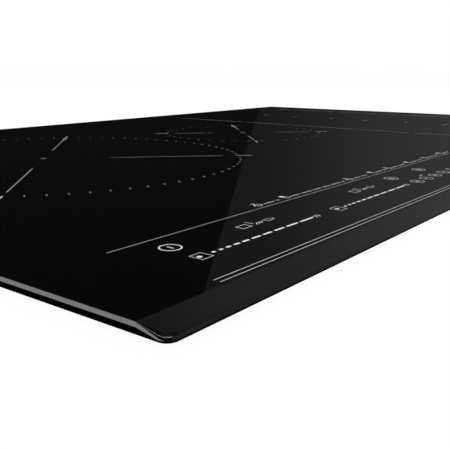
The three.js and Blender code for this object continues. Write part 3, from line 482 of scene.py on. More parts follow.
@dataclass(frozen=True)
class Finish(Dressing):
    """One real material and the pattern that its making left on it.

    Attributes:
        name: What the material is and how its surface was made.
        low: Colour in the hollows of the pattern, sRGB hex.
        high: Colour on its heights.
        pattern: Kind of pattern.
        size: Width of one grain, crystal, strand or thread in millimetres.
        roughness: Roughness in the hollows and on the heights.
        relief: Height of the pattern in millimetres.
        metallic: 1 for bare metal.
        stretch: How many times longer a grain is along X, Y and Z.
        unevenness: Share of the tone that drifts slowly over the surface.
    """

    name: str
    low: str
    high: str
    pattern: Pattern
    size: float
    roughness: Pair
    relief: float = 0.0
    metallic: float = 0.0
    stretch: Triple = (1, 1, 1)
    unevenness: float = 0.2

    def strands(self, tree: Tree) -> bpy.types.NodeSocket:
        """Strands that slant round a wire: twice the distance of share * strands + length / lay to a whole.

        Args:
            tree: The node tree of the material.

        Returns:
            Output from 0 between two strands to 1 on the back of one.
        """
        winding = add_node(tree, "UVMap", {"uv_map": "winding"})
        turns = add_node(tree, "SeparateXYZ", links={0: winding}).outputs
        lay = add_node(tree, "Math", {"operation": "MULTIPLY"}, {0: turns[0], 1: 1 / (STRAND_LAY * self.size)})
        share = add_node(tree, "Math", {"operation": "MULTIPLY_ADD"}, {0: turns[1], 1: STRANDS_ROUND, 2: lay})
        wave = add_node(tree, "Math", {"operation": "PINGPONG"}, {0: share, 1: 0.5})
        return add_node(tree, "Math", {"operation": "MULTIPLY"}, {0: wave, 1: 2.0}).outputs[0]

    def tone(self, tree: Tree, place: bpy.types.NodeSocket) -> bpy.types.NodeSocket:
        """The share between hollow and height that the pattern gives.

        Args:
            tree: The node tree of the material.
            place: Coordinates in metres.

        Returns:
            Output from 0 in a hollow to 1 on a height.
        """
        if self.pattern is Pattern.STRANDS:
            return self.strands(tree)
        shares = [1 / share for share in self.stretch]
        drawn = add_node(tree, "Mapping", links={"Vector": place, "Scale": shares})
        spot = {"Vector": drawn, "Scale": 1 / (self.size * MM)}
        if self.pattern is Pattern.CRYSTALS:
            cells = add_node(tree, "TexVoronoi", links=spot).outputs["Color"]
            return add_node(tree, "SeparateColor", links={0: cells}).outputs[0]
        if self.pattern is Pattern.WEAVE:
            return add_node(tree, "TexChecker", links=spot).outputs["Fac"]
        noise = add_node(tree, "TexNoise", links={**spot, "Detail": 4.0, "Roughness": 0.6})
        return add_node(tree, "MapRange", links={"Value": noise, **NOISE_SPAN}).outputs[0]

    def shader(self, tree: Tree) -> bpy.types.Node:
        """Adds the nodes of the finish: its tone sets colour, roughness and relief, and a slow drift the colour.

        Args:
            tree: The node tree of the material.

        Returns:
            The shader node.
        """
        place = add_node(tree, "TexCoord").outputs["Object"]
        tone = self.tone(tree, place)
        drift = add_node(tree, "TexNoise", links={"Vector": place, "Scale": DRIFT, "Detail": 2.0})
        shade = add_node(tree, "Mix", links={0: self.unevenness, 2: tone, 3: drift})
        ends = {6: linear(self.low), 7: linear(self.high)}
        colour = add_node(tree, "Mix", {"data_type": "RGBA"}, {0: shade, **ends}).outputs[2]
        span = {"To Min": self.roughness[0], "To Max": self.roughness[1]}
        rough = add_node(tree, "MapRange", links={"Value": tone, **span})
        links = {"Base Color": colour, "Roughness": rough, "Metallic": self.metallic}
        if self.relief:
            relief = {"Height": tone, "Distance": self.relief * MM, "Strength": 1.0}
            links["Normal"] = add_node(tree, "Bump", links=relief)
        return add_node(tree, "BsdfPrincipled", links=links)


@dataclass(frozen=True)
class RolledGlass(Dressing):
    """Glass-ceramic, rolled, fired and polished: black in the mass, with a clear mirror on top.

    Attributes:
        name: What the material is and how its surface was made.
        colour: Colour where the surface has been wiped, sRGB hex.
        smear: Roughness where the surface is cleanest and where it has been wiped.
        wave: Height of the rolling waves in millimetres.
        wave_length: Their length in millimetres.
        gloss: Specular level, 0.5 for plain glass.
        mass: Colour where the surface is cleanest.
    """

    name: str
    colour: str
    smear: Pair
    wave: float
    wave_length: float
    gloss: float = 0.5
    mass: str = "#050506"

    def shader(self, tree: Tree) -> bpy.types.Node:
        """Adds the nodes of the glass: wiped streaks set colour and roughness, and waves the relief.

        Args:
            tree: The node tree of the material.

        Returns:
            The shader node.
        """
        place = add_node(tree, "TexCoord").outputs["Object"]
        wiped = add_node(tree, "TexNoise", links={"Vector": place, "Scale": STREAKS, "Detail": 3.0})
        span = {"To Min": self.smear[0], "To Max": self.smear[1]}
        rough = add_node(tree, "MapRange", links={"Value": wiped, **NOISE_SPAN, **span})
        spot = {"Vector": place, "Scale": 1 / (self.wave_length * MM), "Detail": 0.0}
        waves = add_node(tree, "TexNoise", links=spot)
        normal = add_node(tree, "Bump", links={"Height": waves, "Distance": self.wave * MM, "Strength": 1.0})
        ends = {6: linear(self.mass), 7: linear(self.colour)}
        colour = add_node(tree, "Mix", {"data_type": "RGBA"}, {0: wiped, **ends}).outputs[2]
        links = {"Base Color": colour, "Roughness": rough, "Normal": normal}
        return add_node(tree, "BsdfPrincipled", links={**links, "IOR": 1.5, "Specular IOR Level": self.gloss})


# Grains that are finer than about 0.3 mm on the real surface, as on ground, rolled, brushed and turned ones,
# are drawn 0.3 to 0.5 mm wide so that they show, and the strands of the wires 1.1 mm.

# Deep black that mirrors the room; only its reflection shows that it is there.
GLASS = RolledGlass("glass_ceramic_rolled_polished", "#070708", (0.004, 0.012), 0.0006, 45)
# The front land: finely ground, then flamed, so that it mirrors less than the top.
LAND = RolledGlass("glass_ceramic_fine_ground_flamed", "#2c2c2d", (0.18, 0.26), 0.0006, 20, 0.014)
# Matt black masking lacquer on the lower bevel and the underside: takes all light. On the land round two thirds
# of each front corner it is a painted dark reflection, black where that land mirrors only darkness.
UNDERCOAT_AND_DARK_REFLECTION = RolledGlass("lacquer_black_matt_sprayed", "#020202", (0.6, 0.7), 0.002, 2, 0.0)
# The cut edge of the plate, ground with a fine wheel and left grey and matt. On the border round two thirds of
# each front corner it is a painted highlight, grey where that arris shows a bright reflection.
GROUND_EDGE_AND_HIGHLIGHT = Finish(
    "glass_ceramic_ground_edge", "#5c5d5f", "#747577", Pattern.GRAIN, 0.35, (0.4, 0.55), 0.004, 0.0, (30, 30, 1)
)
# Ceramic colour fired into the glass: a flat, almost white grey with a grain like fine sand.
ENAMEL = Finish("enamel_print_fired", "#dcdcdc", "#eaeaea", Pattern.GRAIN, 0.25, (0.45, 0.6), 0.002)
# Closed-cell foam: dull, almost black, with open bubbles at the cut.
FOAM = Finish("foam_polyethylene_cut", "#151516", "#222224", Pattern.GRAIN, 0.6, (0.85, 0.98), 0.12)
# Silicone that was laid as a bead and cured: dark, with a soft skin.
SILICONE = Finish("silicone_bead_cured", "#17181a", "#232426", Pattern.GRAIN, 3.0, (0.45, 0.6), 0.05)
# Hot-dip zinc on sheet: flat grey crystals a few millimetres wide, each a little lighter or darker.
ZINC_SHEET = Finish(
    "steel_sheet_hot_dip_galvanised", "#999da0", "#b4b8ba", Pattern.CRYSTALS, 5.0, (0.38, 0.5), 0.0, 0.9
)
# Bare rolled aluminium: pale, with fine lines along the rolling direction.
ALUMINIUM = Finish(
    "aluminium_rolled_mill", "#b3b6b8", "#cfd1d3", Pattern.GRAIN, 0.4, (0.3, 0.45), 0.003, 1.0, (1, 40, 1)
)
# Extruded aluminium of a heat sink: lines along the press direction.
EXTRUDED = Finish(
    "aluminium_extruded", "#aaadb0", "#c9cccd", Pattern.GRAIN, 0.5, (0.32, 0.48), 0.004, 1.0, (60, 1, 1)
)
# Glass-filled black plastic: spark-eroded mould grain, dull and slightly uneven.
BLACK_PLASTIC = Finish("polyamide_black_moulded", "#191a1c", "#26272a", Pattern.GRAIN, 0.7, (0.45, 0.6), 0.02)
# Ivory plastic: the same grain, warmer and a little shinier.
IVORY_PLASTIC = Finish("polyester_ivory_moulded", "#cfc9b9", "#ddd8ca", Pattern.GRAIN, 0.7, (0.4, 0.52), 0.015)
# Enamelled copper strands, twisted: warm red brown with a slanting lay.
LITZ = Finish(
    "copper_litz_enamelled_twisted", "#6c3a22", "#b37048", Pattern.STRANDS, 1.1, (0.28, 0.42), 0.12, 0.9
)
# Single enamelled wire on a small ring core: the same copper, lighter and smooth.
WIRE = Finish(
    "copper_wire_enamelled_wound", "#8a4a28", "#bd7143", Pattern.GRAIN, 1.2, (0.3, 0.4), 0.05, 0.9, (1, 1, 8)
)
# Sintered ferrite: dark grey ceramic, dull, with a fine pressed grain.
FERRITE = Finish("ferrite_sintered", "#2b2c2e", "#3c3e41", Pattern.GRAIN, 0.5, (0.5, 0.65), 0.01)
# Brushed aluminium foil of a rating plate: lines along the brush, a soft sheen.
FOIL = Finish(
    "aluminium_foil_brushed", "#bcbfc1", "#d3d5d6", Pattern.GRAIN, 0.3, (0.3, 0.4), 0.002, 0.8, (40, 1, 1)
)
# Pressed mineral fibre: off-white felt with short fibres, dull all over.
FELT = Finish(
    "mineral_fibre_pressed", "#d6d1c3", "#ece8dd", Pattern.GRAIN, 1.2, (0.9, 1.0), 0.15, 0.0, (3, 1, 1)
)
# Green solder resist over a glass weave: glossy, with the weave, coarsened from 0.4 mm, just showing.
BOARD = Finish("circuit_board_solder_resist", "#1a4f31", "#226040", Pattern.WEAVE, 1.0, (0.25, 0.35), 0.004)
# Opal light guide: milky white, smooth.
OPAL = Finish("acrylic_opal_moulded", "#e0e0dc", "#ecece9", Pattern.GRAIN, 4.0, (0.25, 0.32), 0.004)
# Film capacitors dipped in yellow resin: slight orange peel.
YELLOW_FILM = Finish("capacitor_resin_yellow", "#be962c", "#d0a93a", Pattern.GRAIN, 1.4, (0.35, 0.45), 0.03)
# Zinc-plated screws: bluish steel with turning marks.
SCREW_STEEL = Finish(
    "steel_zinc_plated_turned", "#84888c", "#a3a7ab", Pattern.GRAIN, 0.3, (0.25, 0.4), 0.004, 1.0, (12, 12, 1)
)
# Spring steel of the sensors and contacts: satin, a little darker than the screws.
SPRING_STEEL = Finish(
    "spring_steel_satin", "#6c6f72", "#85888b", Pattern.GRAIN, 0.4, (0.35, 0.45), 0.003, 0.9, (12, 1, 1)
)


# Pieces


def new_object(
    name: str, shell: Shell, finishes: Sequence[Dressing], crease: float = 35.0
) -> bpy.types.Object:
    """Turns a shell into an object at the origin.

    Args:
        name: Name of the object.
        shell: Its surface in millimetres.
        finishes: The finishes that its face numbers mean.
        crease: Angle in degrees above which an edge stays sharp.

    Returns:
        The object, linked to the scene, with its faces turned outwards.
    """
    mesh = bpy.data.meshes.new(name)
    corners = np.concatenate([rows.ravel() for rows in shell.faces])
    sizes = np.concatenate([np.full(len(rows), rows.shape[1]) for rows in shell.faces])
    numbers = np.concatenate([np.full(len(rows), kind) for rows, kind in zip(shell.faces, shell.finishes)])
    mesh.vertices.add(len(shell.points))
    mesh.vertices.foreach_set("co", (shell.points * MM).ravel())
    mesh.loops.add(len(corners))
    mesh.loops.foreach_set("vertex_index", corners)
    mesh.polygons.add(len(sizes))
    mesh.polygons.foreach_set("loop_start", np.cumsum(sizes) - sizes)
    mesh.polygons.foreach_set("material_index", numbers)
    mesh.update(calc_edges=True)
    if shell.windings:
        mesh.uv_layers.new(name="winding").data.foreach_set("uv", np.concatenate(shell.windings).ravel())
    faced = bmesh.new()
    faced.from_mesh(mesh)
    bmesh.ops.recalc_face_normals(faced, faces=faced.faces)
    faced.to_mesh(mesh)
    faced.free()
    mesh.shade_smooth()
    mesh.set_sharp_from_angle(angle=math.radians(crease))
    mesh.polygons.foreach_set("use_smooth", (sizes <= 4).tolist())
    for finish in finishes:
        mesh.materials.append(finish.material())
    made = bpy.data.objects.new(name, mesh)
    bpy.context.scene.collection.objects.link(made)
    return made


def new_piece(
    name: str,
    shell: Shell,
    finishes: Sequence[Dressing],
    body: str = "body",
    instead_of: Sequence[str] = (),
    crease: float = 35.0,
) -> None:
    """Makes a piece of the cooktop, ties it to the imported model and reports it.

    Args:
        name: Name of the piece.
        shell: Its surface in millimetres.
        finishes: The finishes that its face numbers mean.
        body: Body that carries it.
        instead_of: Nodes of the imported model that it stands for.
        crease: Angle in degrees above which an edge stays sharp.
    """
    piece = new_object(name, shell, finishes, crease)
    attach(piece, body)
    if instead_of:
        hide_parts(*instead_of)
    LOG.info("%s: %d faces on %s", name, len(piece.data.polygons), body)


class Assembly:
    """A group of pieces that are built and dressed together."""

    def dress(self) -> None:
        """Makes the pieces of the group and puts them in the scene."""
        raise NotImplementedError


# The glass plate


class PlateFace(Enum):
    """The finishes of the plate's faces, by number."""

    POLISHED = 0
    # Ground edge on the sides, and a painted highlight on the border round the front corners
    GROUND = 1
    LAND = 2
    # Black lacquer, and a painted dark reflection on the land round the front corners
    DARK = 3


@dataclass
class GlassPlate(Assembly):
    """The glass plate: ground edges, and a polished facet in front that runs out round both corners.

    Attributes:
        half_width: Half its width.
        half_depth: Half its depth.
        corner_radius: Radius of its corners, seen from above.
        thickness: Its thickness with the print.
        underside_inset: How far the underside is drawn in.
        ground_height: Depth below the top where the ground edge ends on three sides.
        arris: Width and depth of the fine bevel along the top edge.
        border_shares: Depths of the border's lower and upper ring on three sides, as shares of it.
        top: Height of the polished top.
        facet_start: Where the facet starts, in y.
        facet_slope: How far it falls for each millimetre to the front.
        bevel_inset: How far the facet ends behind the front.
        inset_depth: Depth of the facet at which that inset is reached.
        bevel_bottom: Depth of the front bevel's lower border.
        border: Half the height of that border.
        land_bottom: Depth of the front land's lower edge.
        under_land: How much deeper the lower bevel starts.
        falls: Fall of the ring under the land, the land's, and the border's lower and upper ring.
        corner_steps: Steps round a corner.
    """

    half_width: float = 400.0
    half_depth: float = 255.0
    corner_radius: float = 4.0
    thickness: float = 4.0
    underside_inset: float = 0.4
    ground_height: float = 1.63
    arris: float = 0.1
    border_shares: Pair = (0.8, 0.6)
    top: float = GLASS_TOP
    facet_start: float = -243.3
    facet_slope: float = 0.0933
    bevel_inset: float = 0.45
    inset_depth: float = 0.9
    bevel_bottom: float = 2.05
    border: float = 0.14
    land_bottom: float = 3.05
    under_land: float = 0.07
    falls: Four = (0.2, 0.315, 0.215, 0.195)
    corner_steps: int = 12

    def loop(self, inset: float | np.ndarray) -> tuple[np.ndarray, int]:
        """The outline drawn in by an inset, with a point on each side where the facet starts.

        Args:
            inset: How far each point is drawn in.

        Returns:
            The points, counter-clockwise from the facet's right end, and the number of its left end.
        """
        angle, quarter = corner_angles(self.corner_steps)
        half = 2 * (self.corner_steps + 1)
        angle = np.r_[0, angle[:half], np.pi, angle[half:]]
        quarter = np.r_[3, quarter[:half], 2, quarter[half:]]
        sizes = [size - inset for size in (self.half_width, self.half_depth, self.corner_radius)]
        flat = rounded_outline(*sizes, angle, quarter)
        flat[[0, half + 1], 1] = self.facet_start
        return flat, half + 1

    def level(self, depth: float, fall: float, deepest: float = math.inf, inset: float = 0.0) -> np.ndarray:
        """One ring: height = top - min(depth + fall * way along the facet, deepest), its inset growing in step.

        Args:
            depth: How far below the top it runs on three sides.
            fall: How much deeper it gets for each millimetre from the facet's start to the front.
            deepest: Where it stops falling.
            inset: How far it is drawn in along the front.

        Returns:
            The points of the ring.
        """
        flat, _ = self.loop(0.0)
        way = np.clip(self.facet_start - flat[:, 1], 0, None)
        share = np.clip(way * self.facet_slope / self.inset_depth, 0, 1) if inset else np.zeros(len(way))
        drawn, _ = self.loop(self.arris * (depth == 0) + share * (inset - self.arris))
        return np.c_[drawn, self.top - np.minimum(depth + fall * way, deepest)]

    def build(self) -> Shell:
        """Rings from the underside up, joined by quads, then the top in two flat faces.

        Returns:
            The plate, with the numbers of PlateFace on its faces.
        """
        bottom, _ = self.loop(self.underside_inset)
        _, left_end = self.loop(0.0)
        under, land_fall, lower_fall, upper_fall = self.falls
        lower_share, upper_share = self.border_shares
        rings = [
            np.c_[bottom, np.full(len(bottom), PLATE_TOP - self.thickness)],
            self.level(self.ground_height, under, self.land_bottom + self.under_land),
            self.level(self.arris, land_fall, self.land_bottom),
            self.level(lower_share * self.arris, lower_fall, self.bevel_bottom + self.border),
            self.level(upper_share * self.arris, upper_fall, self.bevel_bottom - self.border),
            self.level(0.0, self.facet_slope, inset=self.bevel_inset),
        ]
        columns = len(rings[0])
        number = np.arange(columns)

        def beside(extra: int) -> np.ndarray:
            """Whether each column lies on the three sides, or fewer than `extra` columns beyond them."""
            return (number < left_end + extra) | (number >= columns - extra)

        side = beside(2 + self.corner_steps // 4)
        # The sides and two thirds of each front corner: round the corner the border is a painted highlight and
        # the land a painted dark reflection
        bright = beside(1 + 2 * self.corner_steps // 3)
        quads = grid_quads(len(rings), columns, False, True).reshape(-1, columns, 4)
        lower, ground, land, border, bevel = quads
        main = np.arange(left_end + 1)
        facet = np.r_[np.arange(left_end, columns), 0]
        last = (len(rings) - 1) * columns
        parts = [
            (lower, PlateFace.DARK),
            (ground[side], PlateFace.GROUND),
            (ground[~side], PlateFace.DARK),
            # Painted dark reflection: black lacquer on the land round the front corners
            (land[bright], PlateFace.DARK),
            (land[~bright], PlateFace.LAND),
            # Painted highlight: grey ground finish on the border round the front corners
            (border[bright], PlateFace.GROUND),
            (border[~bright], PlateFace.LAND),
            (bevel, PlateFace.POLISHED),
            (number[::-1][None], PlateFace.DARK),
            (main[None] + last, PlateFace.POLISHED),
            (facet[None] + last, PlateFace.POLISHED),
        ]
        return Shell(np.vstack(rings), [rows for rows, _ in parts], [face.value for _, face in parts])

    def dress(self) -> None:
        """Puts the plate in place of its plain solid."""
        finishes = [GLASS, GROUND_EDGE_AND_HIGHLIGHT, LAND, UNDERCOAT_AND_DARK_REFLECTION]
        shell = self.build()
        new_piece("glass_plate_ground", shell, finishes, instead_of=["glass_plate"], crease=9)


# The print


def strokes(lines: Rows, width: Numbers) -> Shell:
    """Straight printed lines: a unit bar stretched to each length, turned along it and moved to its start.

    Args:
        lines: Rows (x0, y0, x1, y1).
        width: Line width, one for all or one each.

    Returns:
        The bars, lying on the plate.
    """
    lines = np.atleast_2d(np.asarray(lines, float))
    delta = lines[:, 2:] - lines[:, :2]
    unit = prism(np.array([[0, -0.5], [1, -0.5], [1, 0.5], [0, 0.5]]), 0, PRINT_THICKNESS)
    scales = np.c_[np.hypot(*delta.T), np.broadcast_to(width, len(lines)), np.ones(len(lines))]
    places = np.c_[lines[:, :2], np.full(len(lines), GLASS_TOP)]
    return repeated(unit, places, np.arctan2(delta[:, 1], delta[:, 0]), scales)


def dots(centres: Rows, radius: float) -> Shell:
    """Round printed dots: a unit disc stretched to the radius and moved to each centre.

    Args:
        centres: Rows (x, y).
        radius: Radius of each dot.

    Returns:
        The dots, lying on the plate.
    """
    centres = np.atleast_2d(np.asarray(centres, float))
    places = np.c_[centres, np.full(len(centres), GLASS_TOP)]
    return repeated(prism(circle(1, 16), 0, PRINT_THICKNESS), places, 0, [radius, radius, 1])


def ring(x: float, y: float, radius: float, width: float) -> Shell:
    """A printed circle line: a flat rectangle turned about the centre.

    Args:
        x: Centre of the circle along X.
        y: Centre along Y.
        radius: Radius of its middle line.
        width: Line width.

    Returns:
        The ring, lying on the plate.
    """
    inner, outer = radius - width / 2, radius + width / 2
    profile = [(inner, 0), (outer, 0), (outer, PRINT_THICKNESS), (inner, PRINT_THICKNESS)]
    return repeated(revolved(profile, 40, hollow=True), [[x, y, GLASS_TOP]])


def closed_strokes(points: np.ndarray, width: float) -> Shell:
    """A closed chain of printed lines through the given points."""
    return strokes(np.c_[points, np.roll(points, -1, 0)], width)


def corner_points(left: float, right: float, low: float, high: float) -> np.ndarray:
    """The four corners (x, y) of an upright rectangle, counter-clockwise from its lower left one."""
    return np.array([[left, low], [right, low], [right, high], [left, high]])


class Print(Assembly):
    """Enamel on the plate: flat prisms as thick as the printed layer."""

    name: str

    def build(self) -> Shell:
        """The printed shapes."""
        raise NotImplementedError

    def dress(self) -> None:
        """Prints the shapes on the plate."""
        new_piece(self.name, self.build(), [ENAMEL])


@dataclass
class RoundZonePrint(Print):
    """A round zone: a circle of short radial dashes, a tick and a thin ray on each diagonal, a middle mark.

    Attributes:
        name: Name of the piece.
        centre: Its centre (x, y).
        radius: Radius of the circle of dashes.
        dash_count: How many places for a dash it has.
        ticks: Where a tick starts and ends, from the centre.
        rays: Where a ray starts and ends.
        dash: Length and width of a dash.
        first_dash: Angle of the first dash in degrees.
        mark: Size of the cross in the middle.
        line_width: Width of the cross and of the wider rays; the ticks have twice that.
        thin_rays: Width of the other two rays as a share of it.
        bar_gap: Distance of the bar across the back right diagonal from the end of its ray.
        bar_reach: Half its reach along X and Y.
        bar_width: Its width.
    """

    name: str
    centre: Pair
    radius: float
    dash_count: int
    ticks: Pair
    rays: Pair
    dash: Pair
    first_dash: float = 0.0
    mark: float = 5.0
    line_width: float = 0.3
    thin_rays: float = 0.6
    bar_gap: float = 1.5
    bar_reach: float = 1.5
    bar_width: float = 3.2

    def spokes(self, angles: np.ndarray, reach: Pair, width: Numbers) -> Shell:
        """Lines from centre + inner reach * (cos a, sin a) to centre + outer reach * (cos a, sin a).

        Args:
            angles: Direction a of each line.
            reach: Inner and outer distance from the centre.
            width: Line width, one for all or one each.

        Returns:
            The printed lines.
        """
        way = directions(angles)
        centre = np.array(self.centre)
        return strokes(np.c_[centre + reach[0] * way, centre + reach[1] * way], width)

    def build(self) -> Shell:
        """The dashes at even angles, left out on the diagonals, where ticks and rays stand.

        Returns:
            The printed shapes.
        """
        centre = np.array(self.centre)
        angle = np.radians(self.first_dash + np.arange(self.dash_count) * 360 / self.dash_count)
        off_diagonals = np.abs(np.sin(2 * angle)) < 0.9999
        diagonals = np.radians([45, 135, 225, 315])
        length, width = self.dash
        around = (self.radius - length / 2, self.radius + length / 2)
        cross = centre + np.array([[-1, 0], [0, -1]]) * self.mark / 2
        across = self.bar_reach * np.array([-1, 1])
        bar = centre + (self.rays[1] + self.bar_gap) * math.sqrt(0.5) + across
        return joined(
            [
                self.spokes(angle[off_diagonals], around, width),
                self.spokes(diagonals, self.ticks, 2 * self.line_width),
                self.spokes(diagonals, self.rays, self.line_width * np.array([1, self.thin_rays] * 2)),
                strokes(np.c_[cross, 2 * centre - cross], self.line_width),
                strokes([*bar, *(bar - 2 * across)], self.bar_width),
            ]
        )


@dataclass
class FlexZonePrint(Print):
    """The long zone: two lines along its sides, broken between its four fields, and marks on its middle line.

    Attributes:
        name: Name of the piece.
        left: The left line in x.
        right: The right line.
        middle: The middle line.
        back: Where the side lines start in y.
        front: Where they end.
        breaks: Where they are broken.
        gap: Length of a break.
        bold_dash: Half the length of the bold cross in the middle break along X and Y, and its width.
        dash_rows: Rows of the cross dashes.
        dash_widths: Their widths.
        dash_half: Half their length.
        glyph_rows: Rows of the small marks.
        bars: Where the bars of a small mark start, from the middle line.
        bar: Reach of a bar along X, half its reach along Y, and its width.
        points: Where the dots of a small mark stand, from the middle line.
        point_radius: Their radius.
        line_width: Width of the side lines.
    """

    name: str = "print_zone_flex"
    left: float = 122.3
    right: float = 350.0
    middle: float = 236.0
    back: float = 206.0
    front: float = -172.0
    breaks: Triple = (105.0, 1.6, -102.7)
    gap: float = 5.8
    bold_dash: Triple = (1.6, 1.2, 0.6)
    dash_rows: Values = (152.7, 51.0, -49.3, -151.0)
    dash_widths: Values = (0.6, 0.6, 0.6, 1.4)
    dash_half: float = 3.5
    glyph_rows: Triple = (105.0, 2.0, -97.0)
    bars: Triple = (-9.4, -6.4, -3.4)
    bar: Triple = (1.2, 0.9, 0.4)
    points: Values = (0.6, 3.4, 6.2, 9.0)
    point_radius: float = 0.45
    line_width: float = 0.22

    def side_lines(self, x: float) -> Shell:
        """One side: a line along Y that stops half a gap short of each break, and a bold cross in the middle.

        Args:
            x: Where the line runs.

        Returns:
            The printed lines.
        """
        stops = np.array([self.back, *np.repeat(self.breaks, 2), self.front], float)
        stops[1:-1] += np.tile([self.gap / 2, -self.gap / 2], len(self.breaks))
        runs = stops.reshape(-1, 2)
        column = np.full(len(runs), x)
        centre = self.breaks[1]
        across, along, width = self.bold_dash
        bold = strokes([[x, centre - along, x, centre + along], [x - across, centre, x + across, centre]], width)
        return joined([strokes(np.c_[column, runs[:, 0], column, runs[:, 1]], self.line_width), bold])

    def build(self) -> Shell:
        """Both side lines, the cross dashes, and between them rows of three small bars and four dots.

        Returns:
            The printed shapes.
        """
        x, half = self.middle, self.dash_half
        across, along, width = self.bar
        rows = [(y, x + start) for y in self.glyph_rows for start in self.bars]
        return joined(
            [
                self.side_lines(self.left),
                self.side_lines(self.right),
                strokes([[x - half, y, x + half, y] for y in self.dash_rows], self.dash_widths),
                strokes([[start, y - along, start + across, y + along] for y, start in rows], width),
                dots([[x + step, y] for y in self.glyph_rows for step in self.points], self.point_radius),
            ]
        )


class Pictogram(Enum):
    """The plain pictograms of the function row.

    Each holds a ring (x, y, radius, width), strokes (x0, y0, x1, y1) and the width of these.
    """

    RING_UNDER_STROKE = ((2.6, -0.6, 1.9, 0.45), ((1.4, 3.4, 3.6, 3.1), (3.4, 3.1, -1.0, -1.0)), 0.4)
    SQUARE_OVER_RING = ((3.0, -1.2, 1.6, 0.35), ((1.3, 1.9, 4.1, 1.9),), 2.8)


@dataclass
class ControlPrint(Print):
    """The control strip along the front: sliders of growing dashes, round keys and plain pictograms.

    Its sizes are those of the left half. A width that ends a row of numbers is the line's.

    Attributes:
        name: Name of the piece.
        half_width: Half the length of the long lines.
        long_lines: Height in y and width of each long line.
        slider_y: Row of the sliders.
        slider_pitch: Distance from one slider to the next.
        key_square: Left, right, lower and upper side of the key before a slider.
        key_dot: Distance of its dot from the left side, and the dot's radius.
        slider_dashes: Start and end of each dash.
        heads: Where the two arrow heads start, their reach along X and Y, and their line width.
        power_key: x, y, radius and line width of the power key.
        power_bar: Half the length of its bar.
        round_keys: Places of the round keys in the upper row.
        round_key: Their radius, ring width, half the length of a bar, and its width.
        round_key_bars: Where their bars lie, above and below the middle.
        key_row: Places of the keys in the lower row.
        small_key: Their y, radius, ring width, half the length of a sign, and its width.
        loose_strokes: A dash and a small cross beside the keys.
        loose_width: Their line width.
        pan_places: Places of the pan pictograms.
        pan_body: Left, right, lower and upper side of the pan, from its place.
        pan_square: The same of the small square beside it.
        pan_bars: The handle line, three slanting bars and a last stroke.
        pan_widths: Line widths of pan, square and bars.
        function_y: Row of the function names.
        functions: Start and end of each function's place.
        block_start: Where its blocks start, how far they lie below the row, and the least step between two.
        block_lengths: Their lengths.
        block_heights: Their heights.
        block_gaps: The gaps after them.
        thin: Width of thin lines.
        bold: Width of the slider dashes.
    """

    name: str = "print_controls"
    half_width: float = 361.2
    long_lines: Pairs = ((-189.0, 0.19), (-238.2, 0.25), (-240.9, 0.25))
    slider_y: float = -218.2
    slider_pitch: float = 99.9
    key_square: Four = (-346.3, -340.2, -221.3, -215.0)
    key_dot: Pair = (1.9, 1.1)
    slider_dashes: Pairs = (
        *((-337.4, -335.6), (-333.2, -331.2), (-329.1, -326.5), (-324.3, -320.9), (-319.0, -314.8)),
        *((-312.8, -307.2), (-305.3, -299.3), (-297.1, -290.2), (-288.1, -279.5), (-277.3, -267.0)),
    )
    heads: Values = (-265.4, -263.0, 1.6, 1.5, 0.45)
    power_key: Four = (-341.9, -202.0, 4.25, 0.6)
    power_bar: float = 1.7
    round_keys: Pairs = ((-148.8, -202.3), (-105.8, -202.0))
    round_key: Four = (4.1, 0.4, 1.7, 0.42)
    round_key_bars: Triple = (-1.2, 0, 1.2)
    key_row: Values = (-148.8, -135.0, -120.8, -106.5)
    small_key: tuple[float, float, float, float, float] = (-218.5, 3.9, 0.35, 1.4, 0.6)
    loose_strokes: tuple[Values, ...] = (
        (-129.4, -212.0, -124.6, -212.0),
        (-94, -216.0, -90, -216.0),
        (-92, -218.0, -92, -214.0),
    )
    loose_width: float = 0.5
    pan_places: Pairs = ((-289.0, -203.4), (-189.0, -203.4))
    pan_body: Four = (-13.4, -7.4, -3.0, 1.2)
    pan_square: Four = (4.4, 8.2, -3.0, -0.2)
    pan_bars: tuple[Values, ...] = (
        (-4.2, 3.6, -3.8, -1.2),
        (-3.6, -2.9, -1.1, -0.6),
        (-1.7, -2.9, 0.8, -0.6),
        (0.2, -2.9, 2.7, -0.6),
        (9.4, -2.8, 10.6, -0.8),
    )
    pan_widths: Triple = (0.33, 0.22, 0.42)
    function_y: float = -183.6
    functions: Pairs = (
        *((-263.0, -243.5), (-239.0, -174.0), (-169.5, -143.5), (-138.5, -119.0)),
        *((-114.6, -87.0), (-82.0, -56.0), (-51.0, -25.0), (-20.0, -4.0)),
    )
    block_start: Triple = (6.8, 1.2, 1.2)
    block_lengths: Values = (0.6, 0.4, 0.8, 0.45, 0.6, 0.4, 0.7)
    block_heights: Values = (1.2, 0.8, 1.0, 1.9, 0.8)
    block_gaps: Values = (0.75, 0.75, 0.75, 0.75, 0.75, 0.75, 2.4)
    thin: float = 0.27
    bold: float = 1.25

    def slider(self, shift: float) -> list[Shell]:
        """One slider: a square key with a dot, dashes that grow to the right, and a double arrow head.

        Args:
            shift: How far it stands to the right of the first one.

        Returns:
            Its printed shapes.
        """
        dot_x, dot_radius = self.key_dot
        runs = np.array(self.slider_dashes) + shift
        row = np.full(len(runs), self.slider_y)
        *starts, reach, rise, head_width = self.heads
        rows = [(x, self.slider_y + way) for x in starts for way in (rise, -rise)]
        heads = [[x + shift, y, x + reach + shift, self.slider_y] for x, y in rows]
        return [
            closed_strokes(corner_points(*self.key_square) + [shift, 0], self.thin),
            dots([[self.key_square[0] + dot_x + shift, self.slider_y]], dot_radius),
            strokes(np.c_[runs[:, 0], row, runs[:, 1], row], self.bold),
            strokes(heads, head_width),
        ]

